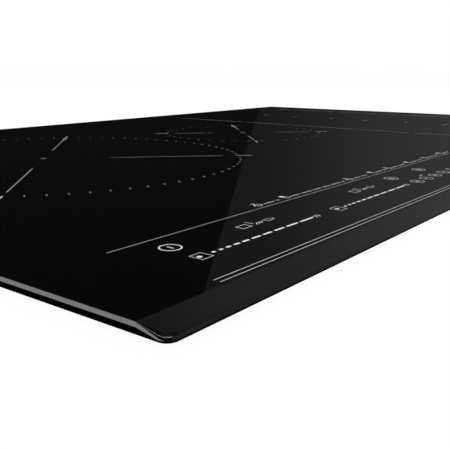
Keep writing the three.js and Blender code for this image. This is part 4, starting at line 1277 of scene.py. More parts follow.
    def pan_pictogram(self, x: float, y: float) -> list[Shell]:
        """A pan from above: a square outline with a handle line, slanting bars and a small square beside it.

        Args:
            x: Its place along X.
            y: Its place along Y.

        Returns:
            Its printed shapes.
        """
        body_width, square_width, bar_width = self.pan_widths
        return [
            closed_strokes(corner_points(*self.pan_body) + [x, y], body_width),
            closed_strokes(corner_points(*self.pan_square) + [x, y], square_width),
            strokes(np.array(self.pan_bars) + [x, y, x, y], bar_width),
        ]

    def function_sign(self, kind: Pictogram, x: float) -> list[Shell]:
        """The pictogram before a function's name.

        Args:
            kind: Which pictogram it is.
            x: Left end of its place.

        Returns:
            Its printed shapes.
        """
        y = self.function_y
        (ring_x, ring_y, *ring_sizes), lines, width = kind.value
        return [ring(x + ring_x, y + ring_y, *ring_sizes), strokes(np.array(lines) + [x, y, x, y], width)]

    def function_blocks(self, x: float, end: float) -> Shell:
        """Plain blocks in place of a name: lengths, heights and gaps repeat in cycles of different length.

        Args:
            x: Left end of the function's place.
            end: Where the blocks stop.

        Returns:
            The printed blocks.
        """
        first, below, shortest_step = self.block_start
        count = int((end - x) / shortest_step)
        cycles = (self.block_lengths, self.block_heights, self.block_gaps)
        lengths, heights, gaps = (np.resize(cycle, count) for cycle in cycles)
        starts = x + first + np.cumsum(lengths + gaps) - lengths - gaps
        kept = starts + lengths < end
        row = np.full(kept.sum(), self.function_y - below)
        return strokes(np.c_[starts[kept], row, (starts + lengths)[kept], row], heights[kept])

    def keys(self) -> list[Shell]:
        """The power key, the round keys with three bars each, and the lower row with minus and plus signs.

        Returns:
            Their printed shapes.
        """
        power_x, power_y, radius, width = self.power_key
        key_radius, key_ring, key_bar, key_bar_width = self.round_key
        bar_rows = [(x, y + step) for x, y in self.round_keys for step in self.round_key_bars]
        bars = [[x - key_bar, y, x + key_bar, y] for x, y in bar_rows]
        row, small_radius, small_ring, sign, sign_width = self.small_key
        return [
            ring(power_x, power_y, radius, width),
            strokes([[power_x, power_y - self.power_bar, power_x, power_y + self.power_bar]], width),
            *[ring(*place, key_radius, key_ring) for place in self.round_keys],
            strokes(bars, key_bar_width),
            *[ring(x, row, small_radius, small_ring) for x in self.key_row],
            strokes([[x - sign, row, x + sign, row] for x in self.key_row], sign_width),
            strokes([[x, row - sign, x, row + sign] for x in self.key_row[::2]], sign_width),
            strokes(self.loose_strokes, self.loose_width),
        ]

    def half(self) -> Shell:
        """The left half of the strip: keys, both sliders, pans and functions.

        Returns:
            Its printed shapes.
        """
        shapes = [*self.keys(), *self.slider(0.0), *self.slider(self.slider_pitch)]
        for x, y in self.pan_places:
            shapes += self.pan_pictogram(x, y)
        for kind, (x, end) in zip(itertools.cycle(Pictogram), self.functions):
            shapes += [*self.function_sign(kind, x), self.function_blocks(x, end)]
        return joined(shapes)

    def build(self) -> Shell:
        """Both halves between the long lines: each is the left one with x multiplied by minus its side.

        Returns:
            The printed shapes.
        """
        left = self.half()
        halves = [Shell(left.points * [-side.value, 1, 1], left.faces, left.finishes) for side in Side]
        rows, widths = zip(*self.long_lines)
        return joined([*halves, strokes([[-self.half_width, y, self.half_width, y] for y in rows], widths)])


# Inside


@dataclass
class Winding(Assembly):
    """A coil of stranded wire in two layers, which spirals outwards below and back inwards above.

    Attributes:
        node: The plain ring that it stands for.
        centre: Its centre (x, y).
        inner: Half width, half depth and corner radius of its innermost turn.
        outer: The same of its outermost turn.
        turns: How many turns each layer has.
        low: Height of the lower layer.
        high: Height of the upper one.
        wire: Radius of the wire.
        steps: Steps round a quarter of a turn.
    """

    node: str
    centre: Pair
    inner: Triple
    outer: Triple
    turns: float
    low: float = 44.35
    high: float = 47.85
    wire: float = 1.75
    steps: int = 12

    def build(self) -> Shell:
        """A point lies at share s of the way from the inner outline to the outer one.

        The share rises evenly from 0 to 1, stays there for a quarter turn while the wire climbs, and falls back.

        Returns:
            The wire.
        """
        angle, quarter = corner_angles(self.steps, self.inner[0] > self.inner[1])
        run, climb = round(self.turns * len(angle)), len(angle) // 4
        share = np.r_[np.linspace(0, 1, run), np.ones(climb), np.linspace(1, 0, run)]
        number = np.arange(len(share))
        height = np.interp(number, [run, run + climb], [self.low, self.high])
        here = number % len(angle)
        sizes = np.outer(1 - share, self.inner) + np.outer(share, self.outer)
        flat = rounded_outline(*sizes.T, angle[here], quarter[here]) + self.centre
        return tube(np.c_[flat, height], outward(angle[here]), self.wire, 8)

    def dress(self) -> None:
        """Puts the winding in place of its plain ring."""
        new_piece(self.node + "_litz", self.build(), [LITZ], instead_of=[self.node], crease=60)


@dataclass
class Ferrites(Assembly):
    """The ferrite bars in the windows of one former's floor, all with the same length and width.

    Attributes:
        name: Name of the piece.
        centre: Centre (x, y) of the former.
        places: Rows (x, y) of the bars from that centre.
        turns: Their directions in radians.
        size: Their length and width.
        bottom: Height of their underside.
        height: Their height.
        bevel: Width of the slope at their edges.
    """

    name: str
    centre: Pair
    places: Rows
    turns: Numbers
    size: Pair
    bottom: float = 40.05
    height: float = 2.3
    bevel: float = 0.25

    def dress(self) -> None:
        """Lays a bar in each window."""
        bar = box((*self.size, self.height), self.bevel)
        rows = np.c_[np.array(self.places) + self.centre, np.full(len(self.places), self.bottom)]
        new_piece(self.name, repeated(bar, rows, self.turns), [FERRITE])


@dataclass
class PowerBoard(Assembly):
    """What stands on a power board: choke, parts at the heat sink, capacitors, relay, transformer, plugs, chips.

    A place is (distance from the middle of the cooktop, y).

    Attributes:
        side: Which of the two boards it is.
        top: Height of the board.
        choke: Place of the choke.
        ring_radius: Radius of the middle line of its core.
        core_radius: Radius of the core.
        wire: Radius of its wire.
        wire_turns: How many turns it has.
        transistors: Places of the transistors.
        rectifier: Place of the rectifier.
        leg_steps: Where the legs of each of these stand, from its place.
        relay: Place of the relay.
        processor: Place of the large chip.
        pin_steps: Where its pins stand along X.
        pin_rows: Where they stand along Y.
        chips: Places of the small chips.
        plugs: Places of the plugs.
        transformer: Place of the transformer.
        cans: Places of the capacitors in cans.
        can_profile: Half the outline (r, z) of a can.
        films: Places of the small film capacitors.
    """

    side: Side
    top: float = 10.6
    choke: Pair = (164.64, 30.0)
    ring_radius: float = 14.0
    core_radius: float = 5.6
    wire: float = 0.65
    wire_turns: int = 26
    transistors: Pairs = ((140, 101.7), (175, 101.7), (210, 101.7))
    rectifier: Pair = (246, 101.7)
    leg_steps: Triple = (-5.4, 0, 5.4)
    relay: Pair = (182, -14)
    processor: Pair = (204, 22)
    pin_steps: Values = tuple(np.arange(-6, 6.1, 1.2))
    pin_rows: Pair = (-8, 8)
    chips: Pairs = ((190, 60), (200, 60), (204, 40), (214, 40), (132, 62), (132, 74))
    plugs: Pairs = ((243, -22), (262, -22), (281, -22), (290, 84))
    transformer: Pair = (213, -13)
    cans: Pairs = ((128, -14), (149, -14), (268, 84))
    can_profile: Pairs = (
        *((0.4, 0.2), (8.6, 0.2), (8.6, 1.6), (8.1, 2.1)),
        *((8.6, 2.6), (8.6, 21), (7.9, 22), (0.4, 22)),
    )
    films: Pairs = ((206, 72), (206, 84), (150, 72))

    def stood(self, *parts: tuple[Shell, Sequence[Pair]]) -> Shell:
        """Shapes stood on the board.

        Args:
            parts: Shapes, each with its places.

        Returns:
            Every copy of every shape.
        """
        left = self.side.value
        return joined(
            [repeated(shape, [(left * x, y, self.top) for x, y in places]) for shape, places in parts]
        )

    def build_choke(self) -> Shell:
        """A ring core and a wire wound round it, at angle turns * t round the core where it is at t along it.

        Returns:
            The wire, with finish 0, and the core, with finish 1.
        """
        profile = circle(self.core_radius, 12) + [self.ring_radius, 0]
        core = finished(revolved(profile, 32, hollow=True), 1)
        along = np.linspace(0.04, 0.96, 16 * self.wire_turns) * 2 * np.pi
        turned = along * self.wire_turns
        out = outward(along)
        side = out * np.cos(turned)[:, None] + [0, 0, 1] * np.sin(turned)[:, None]
        path = self.ring_radius * out + (self.core_radius + self.wire) * side
        up = np.cross(np.gradient(path, axis=0), side)
        wire = tube(path, side, self.wire, 6, up / np.linalg.norm(up, axis=1)[:, None])
        height = self.top + self.core_radius + 2 * self.wire + 0.1
        return repeated(joined([wire, core]), [[self.side.value * self.choke[0], self.choke[1], height]])

    def black_parts(self) -> Shell:
        """Three transistors and a rectifier at the heat sink, a relay and the flat chips.

        Returns:
            The parts of black plastic.
        """
        return self.stood(
            (Block((16, 4.6), 0.5, (2.2, 22.5), 0.4).build(), self.transistors),
            (Block((24, 4.6), 0.5, (2.2, 19.5), 0.4).build(), [self.rectifier]),
            (Block((20, 16), 1, (0.2, 15.5), 0.6, steps=2).build(), [self.relay]),
            (Block((14, 14), 0.6, (0.3, 1.8), 0.2).build(), [self.processor]),
            (box((5, 4, 1.6), 0.2), self.chips),
        )

    def ivory_parts(self) -> Shell:
        """Plugs at the edge, each a housing with a raised latch, and both flanges of a transformer's bobbin.

        Returns:
            The parts of ivory plastic.
        """
        latch = repeated(box((6, 1.4, 6.5), 0.3), [[0, -3.4, 0.6]])
        return self.stood(
            (joined([box((14, 6, 9), 0.4), latch]), self.plugs),
            (Block((24, 20), 1, (0.2, 3.2), 0.5, steps=2).build(), [self.transformer]),
            (Block((24, 20), 1, (14.5, 17.2), 0.5, steps=2).build(), [self.transformer]),
        )

    def silver_parts(self) -> Shell:
        """Cans of the capacitors with a cross pressed in their tops, and the legs and pins of the chips.

        Returns:
            The parts of bright metal.
        """
        cross = repeated(box((9, 0.7, 0.25), 0.05), [[0, 0, 22]] * 2, [0, np.pi / 2])
        legs = [(x + step, y) for x, y in (*self.transistors, self.rectifier) for step in self.leg_steps]
        x, y = self.processor
        pins = [(x + step, y + row) for step in self.pin_steps for row in self.pin_rows]
        return self.stood(
            (joined([revolved(self.can_profile, 28), cross]), self.cans),
            (box((1.3, 0.7, 2.3), 0.1), legs),
            (box((0.5, 2.4, 0.4), 0.05), pins),
        )

    def yellow_parts(self) -> Shell:
        """Small film capacitors and the tape round the transformer.

        Returns:
            The yellow parts.
        """
        return self.stood(
            (Block((18, 7), 1, (0.2, 12.5), 0.5, steps=2).build(), self.films),
            (Block((20, 16), 3, (3.2, 14.5), 0.3, steps=3).build(), [self.transformer]),
        )

    def dress(self) -> None:
        """Fits the board with its parts."""
        name = self.side.name.lower()
        node = f"choke_{name}"
        new_piece(f"{node}_wound", self.build_choke(), [WIRE, FERRITE], instead_of=[node], crease=65)
        new_piece(f"board_chips_{name}", self.black_parts(), [BLACK_PLASTIC])
        new_piece(f"board_plugs_{name}", self.ivory_parts(), [IVORY_PLASTIC])
        new_piece(f"board_cans_{name}", self.silver_parts(), [SCREW_STEEL])
        new_piece(f"board_films_{name}", self.yellow_parts(), [YELLOW_FILM])


@dataclass
class TouchParts(Assembly):
    """What stands on the touch board: contact springs under the keys, lamps under the sliders, and chips.

    Attributes:
        top: Height of the board.
        key_row: Row of the springs in y.
        slider_row: Row of the lamps.
        chip_row: Row of the chips.
        keys: Distances of the springs from the middle.
        sliders: Distances of the middle of each row of lamps.
        chips: Distances of the large chips.
        chip_steps: Where the small chips stand beside each of them.
        lamp_count: Lamps in a row.
        lamp_pitch: Distance from lamp to lamp.
        spring: Radius of a spring, radius of its wire, its height and its turns.
        spring_foot: Height of its foot, and of the first turn above the board.
    """

    top: float = 46.65
    key_row: float = -202.5
    slider_row: float = -219.0
    chip_row: float = -190.5
    keys: Values = (20.0, 106.5, 148.5, 342.0)
    sliders: Pair = (199.5, 299.5)
    chips: Triple = (60.0, 180.0, 300.0)
    chip_steps: Triple = (8, 12, 16)
    lamp_count: int = 12
    lamp_pitch: float = 6.0
    spring: Four = (2.6, 0.22, 5.6, 5.0)
    spring_foot: Pair = (0.3, 0.5)

    def both_sides(self, shape: Shell, row: float, places: Sequence[float]) -> Shell:
        """Copies of a shape at each distance to the left and to the right of the middle."""
        return repeated(shape, [(side.value * x, row, self.top) for side in Side for x in places])

    def contact_spring(self) -> Shell:
        """A spring whose wire rises evenly over its turns, on a flat foot.

        Returns:
            The spring, round the origin.
        """
        radius, wire, height, turns = self.spring
        foot, start = self.spring_foot
        angle = np.linspace(0, 2 * np.pi * turns, round(16 * turns))
        coil = helix(angle, angle / angle[-1] * height + start, radius, wire, 6, [0, 0, 0])
        return joined([coil, prism(circle(radius + wire, 16), 0, foot)])

    def dress(self) -> None:
        """Fits the board with its parts."""
        springs = self.both_sides(self.contact_spring(), self.key_row, self.keys)
        new_piece("touch_springs", springs, [SPRING_STEEL], crease=60)
        steps = (np.arange(self.lamp_count) - (self.lamp_count - 1) / 2) * self.lamp_pitch
        lamp_places = [x + step for x in self.sliders for step in steps]
        lamps = self.both_sides(box((2.0, 1.25, 0.8), 0.1), self.slider_row, lamp_places)
        new_piece("touch_lamps", lamps, [OPAL])
        chip = joined([Block((5.4, 4.6), 0.4, (0.15, 1.4), 0.15).build(), box((5.8, 3.6, 0.4), 0.05)])
        small_places = [x + step for x in self.chips for step in self.chip_steps]
        small = self.both_sides(box((2.0, 1.2, 0.6), 0.1), self.chip_row, small_places)
        chips = joined([self.both_sides(chip, self.chip_row, self.chips), small])
        new_piece("touch_chips", chips, [BLACK_PLASTIC])


@dataclass
class Fasteners(Assembly):
    """Screws and small metal parts that show from outside: on walls, terminals and clamps, and a rating plate.

    Attributes:
        wall: Half the width and half the depth of the tray.
        screw_height: Height of the wall screws.
        side_rows: Where they stand along the left and right wall.
        front_rows: Where they stand along the front.
        back_rows: Where they stand along the back.
        clamp: Distances of the clamp screws from the middle.
        thread: Radius of the shank, radius of the ridge, and pitch.
        thread_reach: Lower and upper end of the thread.
        thread_steps: Steps in one turn of it.
        terminals: Middle of the row of terminal screws.
        terminal_pitch: Distance from one to the next.
        terminal_count: How many there are.
        slot_turn: Angle of their slots.
        plate_height: Height of the rating plate's middle.
    """

    wall: Pair = (370.0, 240.0)
    screw_height: float = 43.5
    side_rows: Values = (-200.0, -60.0, 60.0, 200.0)
    front_rows: Values = (-280.0, -90.0, 90.0, 280.0)
    back_rows: Values = (-280.0, -90.0, 90.0, 320.0)
    clamp: Pair = (354.0, 140.0)
    thread: Triple = (2.16, 0.16, 1.0)
    thread_reach: Pair = (15.0, 39.0)
    thread_steps: int = 14
    terminals: Triple = (250, 210, 10)
    terminal_pitch: float = 35 / 3
    terminal_count: int = 6
    slot_turn: float = 0.4
    plate_height: float = 18

    def wall_screws(self) -> Shell:
        """Pan heads with a cross on all four walls of the tray, each head laid over to look outwards.

        Returns:
            All the heads.
        """
        head = screw_head(radius=3.6, height=2.0, parts=4, groove=0.9)
        half_width, half_depth = self.wall
        walls = (
            ((1, 0), [(half_width, row) for row in self.side_rows]),
            ((-1, 0), [(-half_width, row) for row in self.side_rows]),
            ((0, 1), [(row, half_depth) for row in self.back_rows]),
            ((0, -1), [(row, -half_depth) for row in self.front_rows]),
        )
        return joined(
            [
                repeated(lying(head, way), [(*place, self.screw_height) for place in places])
                for way, places in walls
            ]
        )

    def terminal_screws(self) -> Shell:
        """A row of slotted heads: head k stands at middle + pitch (k - (count - 1) / 2).

        Returns:
            All the heads.
        """
        x, y, z = self.terminals
        steps = np.arange(self.terminal_count) - (self.terminal_count - 1) / 2
        wells = [(x + step * self.terminal_pitch, y, z) for step in steps]
        return repeated(screw_head(radius=2.8, height=2.6, parts=2, groove=0.8), wells, self.slot_turn)

    def clamp_thread(self, x: float, y: float) -> Shell:
        """A thin ridge that winds up the shank and rises by the pitch in each turn.

        Args:
            x: The shank's place along X.
            y: Its place along Y.

        Returns:
            The ridge.
        """
        radius, ridge, pitch = self.thread
        low, high = self.thread_reach
        angle = np.arange(round((high - low) / pitch * self.thread_steps)) * 2 * np.pi / self.thread_steps
        return helix(angle, angle * pitch / 2 / np.pi, radius, ridge, 4, [x, y, low])

    def dress(self) -> None:
        """Adds the fasteners, each on the body that carries it."""
        new_piece("wall_screws", self.wall_screws(), [SCREW_STEEL])
        new_piece("terminal_screws", self.terminal_screws(), [SCREW_STEEL])
        plate = lying(Block((96, 20), 2, (0, 0.25), steps=3).build(), (0, -1))
        rated = repeated(plate, [(0, -self.wall[1], self.plate_height)])
        new_piece("rating_plate_blank", rated, [FOIL])
        for (end, y), side in itertools.product((("front", -1), ("back", 1)), Side):
            corner = f"{end}_{side.name.lower()}"
            ridge = self.clamp_thread(side.value * self.clamp[0], y * self.clamp[1])
            new_piece(f"clamp_thread_{corner}", ridge, [SCREW_STEEL], f"clamp_screw_{corner}")


# Centres of the coils, and the width of the bars under them
LEFT_ZONE = (-224.0, 32.0)
MIDDLE_ZONE = (19.2, 32.0)
FLEX_FIELDS = ((238.5, 159.5), (238.5, 65.0), (238.5, -29.5), (238.5, -124.0))
BAR_WIDTH = 11.4


def round_ferrites(name: str, centre: Pair, count: int, radius: float, length: float) -> Ferrites:
    """Ferrite bars that lie like spokes, at (radius cos a, radius sin a) from the centre of a round coil.

    Args:
        name: Name of the piece.
        centre: Centre of the coil.
        count: How many bars there are.
        radius: Distance of their middle from the centre.
        length: Their length.

    Returns:
        The bars.
    """
    turns = np.arange(count) * 2 * np.pi / count
    return Ferrites(name, centre, radius * directions(turns), turns, (length, BAR_WIDTH))


def inner_parts() -> list[Assembly]:
    """Every winding, ferrite set, board, touch part and fastener of the cooktop.

    Returns:
        The groups in the order in which they are dressed.
    """
    parts: list[Assembly] = [
        Winding("coil_left_inner", LEFT_ZONE, (27.1,) * 3, (72.7,) * 3, 12.5),
        Winding("coil_left_outer", LEFT_ZONE, (81.3,) * 3, (128.4,) * 3, 13),
        Winding("coil_middle", MIDDLE_ZONE, (27.1,) * 3, (68.4,) * 3, 11.5),
        round_ferrites("ferrites_left", LEFT_ZONE, 8, 77.75, 79.4),
        round_ferrites("ferrites_middle", MIDDLE_ZONE, 6, 47.75, 32.4),
    ]
    flex_inner, flex_outer = (74.0, 14.0, 14.0), (100.4, 40.4, 40.4)
    across = [[28.8, 27.25], [-28.8, 27.25], [-28.8, -27.25], [28.8, -27.25]]
    ends = [[75.75, 0], [-75.75, 0]]
    for number, centre in enumerate(FLEX_FIELDS, 1):
        name = f"ferrites_flex_{number}"
        parts += [
            Winding(f"coil_flex_{number}", centre, flex_inner, flex_outer, 7.25, steps=8),
            Ferrites(f"{name}_short", centre, across, np.pi / 2, (24.8, BAR_WIDTH)),
            Ferrites(f"{name}_long", centre, ends, 0.0, (42.7, BAR_WIDTH)),
        ]
    return [*parts, *map(PowerBoard, Side), TouchParts(), Fasteners()]


# The finish of each solid, by the start of its name; the first start that fits counts
SOLID_FINISHES: dict[str, Dressing] = {
    "rim_gasket": FOAM,
    "adhesive_bead": SILICONE,
    "support_frame": ZINC_SHEET,
    "bottom_tray": ZINC_SHEET,
    "coil_plate": ALUMINIUM,
    "coil_former": BLACK_PLASTIC,
    "coil_": WIRE,
    "insulation_mat": FELT,
    "sensor": SPRING_STEEL,
    "touch_carrier": IVORY_PLASTIC,
    "touch_board": BOARD,
    "light_guide": OPAL,
    "fan_housing": BLACK_PLASTIC,
    "fan_rotor": IVORY_PLASTIC,
    "board_carrier": IVORY_PLASTIC,
    "power_board": BOARD,
    "heat_sink": EXTRUDED,
    "capacitor": YELLOW_FILM,
    "choke": WIRE,
    "terminal_block": IVORY_PLASTIC,
    "terminal": BLACK_PLASTIC,
    "cable_gland": BLACK_PLASTIC,
    "clamp_screw": SCREW_STEEL,
    "clamp_arm": ZINC_SHEET,
}


def dress_solids() -> None:
    """Gives the solids their finishes. The glass plate is in no row, for a piece replaces it."""
    for name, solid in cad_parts.items():
        for finish in (finish for start, finish in SOLID_FINISHES.items() if name.startswith(start)):
            solid.data.materials.clear()
            solid.data.materials.append(finish.material())
            LOG.info("%s: %s", name, finish.name)
            break


# The studio


@dataclass(frozen=True)
class WhiteLaminate(Dressing):
    """Worktop laminate, white and matt, with a light shadow. From below it shines pale and is seen through.

    Attributes:
        name: What the material is and how its surface was made.
        low: Colour of its specks, sRGB hex.
        high: Colour between them.
        specks: Repeats of the specks in one metre.
        glow: Share of plain white in what the camera sees of its top.
        under_glow: Strength of the light that its underside gives.
    """

    name: str = "laminate_white_matt"
    low: str = "#f2f2f2"
    high: str = "#ffffff"
    specks: float = 400.0
    glow: float = 0.955
    under_glow: float = 0.8

    def shader(self, tree: Tree) -> bpy.types.Node:
        """Adds the nodes of the worktop: one mix for its top and one for its underside.

        Args:
            tree: The node tree of the material.

        Returns:
            The shader node.
        """
        seen = add_node(tree, "LightPath").outputs["Is Camera Ray"]
        behind = add_node(tree, "NewGeometry").outputs["Backfacing"]
        place = add_node(tree, "TexCoord").outputs["Object"]
        speck = add_node(tree, "TexNoise", links={"Vector": place, "Scale": self.specks})
        ends = {6: linear(self.low), 7: linear(self.high)}
        paint = add_node(tree, "Mix", {"data_type": "RGBA"}, {0: speck, **ends}).outputs[2]
        matt = add_node(tree, "BsdfDiffuse", links={"Color": paint})
        pale = add_node(tree, "Emission", links={"Strength": 1.0})
        clear = add_node(tree, "BsdfTransparent")
        front = add_node(tree, "MixShader", links={0: self.glow, 1: matt, 2: pale})
        lit = add_node(tree, "MixShader", links={0: seen, 1: matt, 2: front})
        soft = add_node(tree, "Emission", links={"Strength": self.under_glow})
        under = add_node(tree, "MixShader", links={0: seen, 1: soft, 2: clear})
        return add_node(tree, "MixShader", links={0: behind, 1: lit, 2: under})


@dataclass(frozen=True)
class PanelLight(Dressing):
    """White woven cloth of a studio panel, lit from behind: an even glow, as bright as its vertices say."""

    name: str = "studio_panel_cloth"

    def shader(self, tree: Tree) -> bpy.types.Node:
        """Adds the nodes of the panel and returns its shader node."""
        light = add_node(tree, "Attribute", {"attribute_name": "light"}).outputs["Fac"]
        return add_node(tree, "Emission", links={"Strength": light})


def ramp(value: np.ndarray, start: float, width: float) -> np.ndarray:
    """0 up to the start, 1 from start + width on, and straight between: (value - start) / width, clipped."""
    return np.clip((value - start) / width, 0, 1)


@dataclass
class Cloth:
    """How bright the cloth round the cooktop is, by direction in degrees; right is right of the heading.

    Attributes:
        middle: Height of its plain level.
        rise: Growth for each degree above and below that height, as a share.
        rise_span: Least and most of this factor.
        near: Level of the lower part and its growth for each degree to the right.
        near_span: Where that growth starts, and over how many degrees it goes on.
        above: Level of the upper part, and its growth for each degree to the right and upwards.
        above_span: Middle of the growth to the right, and how far it goes on to both sides.
        step: Extra level on the right of the upper part, where it starts, and its width.
        fold_places: Degrees to the right of the soft folds of the upper part.
        fold_levels: Share of light at each of them.
        seam: Height where the lower part goes over into the upper, and the width of that.
        span: Least and most brightness in front.
        card: Level of a bright card on the right, and start and width of its left, right and upper border.
        side: Middle of the bright front, half its width, and the width of its border.
        behind: Where the dim fill behind starts, its border, and its level.
        dim: Level beside the bright front.
        dim_rise: Growth of that for each degree upwards, where it starts, and over how many degrees it goes on.
    """

    middle: float = 8
    rise: Pair = (0.09, 0.06)
    rise_span: Pair = (0.3, 2.1)
    near: Pair = (0.0205, 0.0034)
    near_span: Pair = (4.4, 26)
    above: Triple = (0.031, 0.0026, 0.0033)
    above_span: Pair = (5, 8)
    step: Triple = (0.022, -3, 5)
    fold_places: Values = (-3, 1, 5, 9, 13, 17)
    fold_levels: Values = (0.88, 0.9, 1, 1, 0.88, 0.84)
    seam: Pair = (20, 5)
    span: Pair = (0.012, 0.26)
    card: Values = (0.29, 42, 12, 86, 8, 34, 8)
    side: Triple = (-20, 50, 50)
    behind: Triple = (110, 40, 0.12)
    dim: float = 0.0058
    dim_rise: Triple = (0.0033, 20, 60)

    def upper(self, right: np.ndarray, up: np.ndarray) -> np.ndarray:
        """Brightness of the upper part: a level that grows to the right and upwards, times its folds.

        Args:
            right: Angles right of the heading.
            up: Angles above the middle height.

        Returns:
            The brightness at each point.
        """
        level, to_right, upwards = self.above
        middle, reach = self.above_span
        extra, start, width = self.step
        grown = level + to_right * np.clip(right - middle, -reach, reach) + upwards * up
        folds = np.interp(right, self.fold_places, self.fold_levels)
        return (grown + extra * ramp(right, start, width)) * folds

    def light(self, azimuth: np.ndarray, height: np.ndarray) -> np.ndarray:
        """Brightness in each direction: lower part, upper part and card in front, a dim level elsewhere.

        Args:
            azimuth: Angles left of the camera's heading, in degrees.
            height: Angles above the horizon, in degrees.

        Returns:
            The brightness at each point.
        """
        right, up = -azimuth, height - self.middle
        rise = np.clip(1 + np.where(up > 0, *self.rise) * up, *self.rise_span)
        near = (self.near[0] + self.near[1] * np.clip(right - self.near_span[0], 0, self.near_span[1])) * rise
        blend = ramp(height, *self.seam)
        level, left_edge, left_width, right_edge, right_width, top, top_width = self.card
        card = ramp(right, left_edge, left_width) * ramp(-right, -right_edge, right_width)
        card = card * ramp(-height, -top, top_width)
        front = np.clip(near * (1 - blend) + self.upper(right, up) * blend, *self.span)
        lit = front * (1 - card) + level * card
        middle, half, border = self.side
        side = ramp(np.abs(azimuth - middle), half, border)
        start, width, fill = self.behind
        growth, low, reach = self.dim_rise
        dim = self.dim + np.clip(height - low, 0, reach) * growth + fill * ramp(np.abs(azimuth), start, width)
        return lit * (1 - side) + dim * side


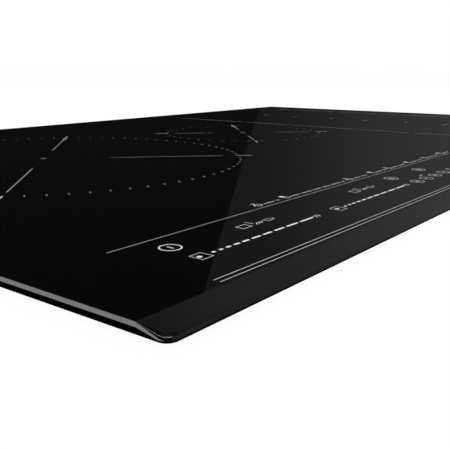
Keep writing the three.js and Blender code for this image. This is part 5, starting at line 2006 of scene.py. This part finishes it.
@dataclass
class Studio:
    """Worktop, panels, lamps, world and camera of the photograph.

    Attributes:
        camera_place: Where the camera stands.
        heading: Where it looks, in degrees left of +X.
        pitch: How far it looks down, in degrees.
        lens: Its focal length on a sensor that is sensor_width wide.
        sensor_width: Width of the sensor.
        cut_out: Opening of the worktop.
        reach: Half the worktop's size.
        dome_radius: Distance of the cloth.
        flag_radius: Distance of the black flag in front of it.
        flag_top: Upper end of the flag, in degrees.
        flag_left: Its left end, in degrees left of the heading.
        flag_edge: Its right end, at what height, and how far that leans left for each degree upwards.
        flag_bend: How far the right end bends back below a height, that height, and over how many degrees.
        fill: Light of the world that falls on the cooktop.
        lamps: Name, place in metres, side length in metres and power in watts of each lamp.
    """

    camera_place: Triple = (-510.24, -359.35, 121.69)
    heading: float = 38.05
    pitch: float = 13.752
    lens: float = 51.756
    sensor_width: float = 36
    cut_out: Pair = (750.0, 490.0)
    reach: float = 15000.0
    dome_radius: float = 9000.0
    flag_radius: float = 8000.0
    flag_top: float = 25.5
    flag_left: float = 70
    flag_edge: Triple = (-2.9, 3.3, 0.297)
    flag_bend: Triple = (0.16, 19.5, 8)
    fill: float = 0.75
    lamps: tuple[tuple[str, Triple, float, float], ...] = (
        ("key_lamp", (-1.2, -1.0, 1.6), 1.2, 14),
        ("fill_lamp", (1.4, 0.6, 1.3), 1.4, 8),
        ("low_lamp", (-0.6, -1.2, -1.3), 1.4, 10),
    )

    def worktop(self) -> None:
        """A wide plane with the cut-out: an outer and an inner rectangle joined corner to corner."""
        corners = np.array([[1, 1], [-1, 1], [-1, -1], [1, -1]])
        flat = np.vstack([corners * self.reach, corners * np.array(self.cut_out) / 2])
        points = np.c_[flat, np.full(len(flat), WORKTOP)]
        made = new_object("worktop", Shell(points, [grid_quads(2, 4, False, True)], [0]), [WhiteLaminate()])
        if made.data.polygons[0].normal.z < 0:
            made.data.flip_normals()

    def panel(self, name: str, azimuth: np.ndarray, height: np.ndarray, radius: float, light: np.ndarray) -> None:
        """A piece of a sphere round the camera's mirror image, which shows only in reflections.

        A point is centre + radius (cos h cos a, cos h sin a, sin h).

        Args:
            name: Name of the panel.
            azimuth: Array (rows, columns) of angles left of the camera's heading, in degrees.
            height: Array of angles above the horizon, in degrees.
            radius: Radius of the sphere.
            light: Array of how bright each point is.
        """
        x, y, z = self.camera_place
        centre = np.array([x, y, 2 * PLATE_TOP - z])
        a, h = np.radians(azimuth + self.heading), np.radians(height)
        points = centre + radius * np.stack([np.cos(h) * np.cos(a), np.cos(h) * np.sin(a), np.sin(h)], -1)
        shell = Shell(points.reshape(-1, 3), [grid_quads(*azimuth.shape, False, False)], [0])
        made = new_object(name, shell, [PanelLight()])
        values = light.ravel().astype(np.float32)
        made.data.attributes.new("light", "FLOAT", "POINT").data.foreach_set("value", values)
        for ray in ("camera", "diffuse", "shadow", "transmission", "volume_scatter"):
            setattr(made, f"visible_{ray}", False)

    def panels(self) -> None:
        """The pale cloth all round, and a black flag in front of it whose right edge leans left as it rises."""
        cloth = Cloth()
        heights = np.r_[np.arange(-1, 88, 3.0), 89.9]
        azimuth, height = np.meshgrid(np.arange(-180, 181, 3.0), heights, indexing="ij")
        self.panel("studio_cloth", azimuth, height, self.dome_radius, cloth.light(azimuth, height))
        share, height = np.meshgrid(np.linspace(0, 1, 20), np.linspace(-1, self.flag_top, 40), indexing="ij")
        start, level, lean = self.flag_edge
        bend, bend_top, bend_width = self.flag_bend
        edge = start + lean * (height - level) - bend * ramp(-height, -bend_top, bend_width)
        azimuth = edge + share * (self.flag_left - edge)
        self.panel("studio_flag", azimuth, height, self.flag_radius, np.full(azimuth.shape, cloth.dim))

    def world(self) -> None:
        """White for the camera, mirrors and glass; a softer level for the light that falls on the cooktop."""
        made = bpy.data.worlds.new("studio_world")
        made.use_nodes = True
        tree = made.node_tree
        tree.nodes.clear()
        path = add_node(tree, "LightPath").outputs
        seen = path["Is Camera Ray"]
        for ray in ("Is Glossy Ray", "Is Transmission Ray"):
            seen = add_node(tree, "Math", {"operation": "MAXIMUM"}, {0: seen, 1: path[ray]})
        level = add_node(tree, "MapRange", links={"Value": seen, "To Min": self.fill, "To Max": 1.0})
        light = add_node(tree, "Background", links={"Color": (1, 1, 1, 1), "Strength": level})
        add_node(tree, "OutputWorld", links={"Surface": light})
        bpy.context.scene.world = made

    def lamp(self, name: str, place: Triple, size: float, power: float) -> None:
        """A soft square lamp that looks at the plate and doesn't show in it.

        Args:
            name: Name of the lamp.
            place: Where it stands, in metres.
            size: Side length in metres.
            power: Power in watts.
        """
        light = bpy.data.lights.new(name, "AREA")
        light.size, light.energy = size, power
        made = bpy.data.objects.new(name, light)
        made.location = place
        made.rotation_euler = (-made.location).to_track_quat("-Z", "Y").to_euler()
        made.visible_glossy = False
        bpy.context.scene.collection.objects.link(made)

    def camera(self) -> None:
        """The camera of the photograph, solved from its two vanishing points."""
        data = bpy.data.cameras.new("camera")
        data.lens, data.sensor_width, data.clip_start, data.clip_end = self.lens, self.sensor_width, 0.01, 100
        made = bpy.data.objects.new("camera", data)
        made.location = [length * MM for length in self.camera_place]
        made.rotation_euler = (math.radians(90 - self.pitch), 0, math.radians(self.heading - 90))
        bpy.context.scene.collection.objects.link(made)
        bpy.context.scene.camera = made

    def build(self) -> None:
        """Sets up the whole studio."""
        self.camera()
        self.worktop()
        self.panels()
        self.world()
        for row in self.lamps:
            self.lamp(*row)
        bpy.context.scene.view_settings.view_transform = "Standard"


def main() -> None:
    """Builds the studio, then the cooktop from the plate down."""
    logging.basicConfig(level=logging.INFO, format="%(name)s: %(message)s")
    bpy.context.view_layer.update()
    Studio().build()
    assemblies = [
        GlassPlate(),
        RoundZonePrint("print_zone_left", (-223.7, 32.1), 142.8, 80, (141, 153), (48, 130.8), (1.8, 0.5)),
        RoundZonePrint(
            "print_zone_middle", (19.2, 32), 76.6, 40, (76.4, 87.2), (31.5, 68.6), (1.4, 0.45), 4.5, mark=6.0
        ),
        FlexZonePrint(),
        ControlPrint(),
        *inner_parts(),
    ]
    for assembly in assemblies:
        assembly.dress()
    dress_solids()
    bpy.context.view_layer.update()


if __name__ == "__main__":
    main()
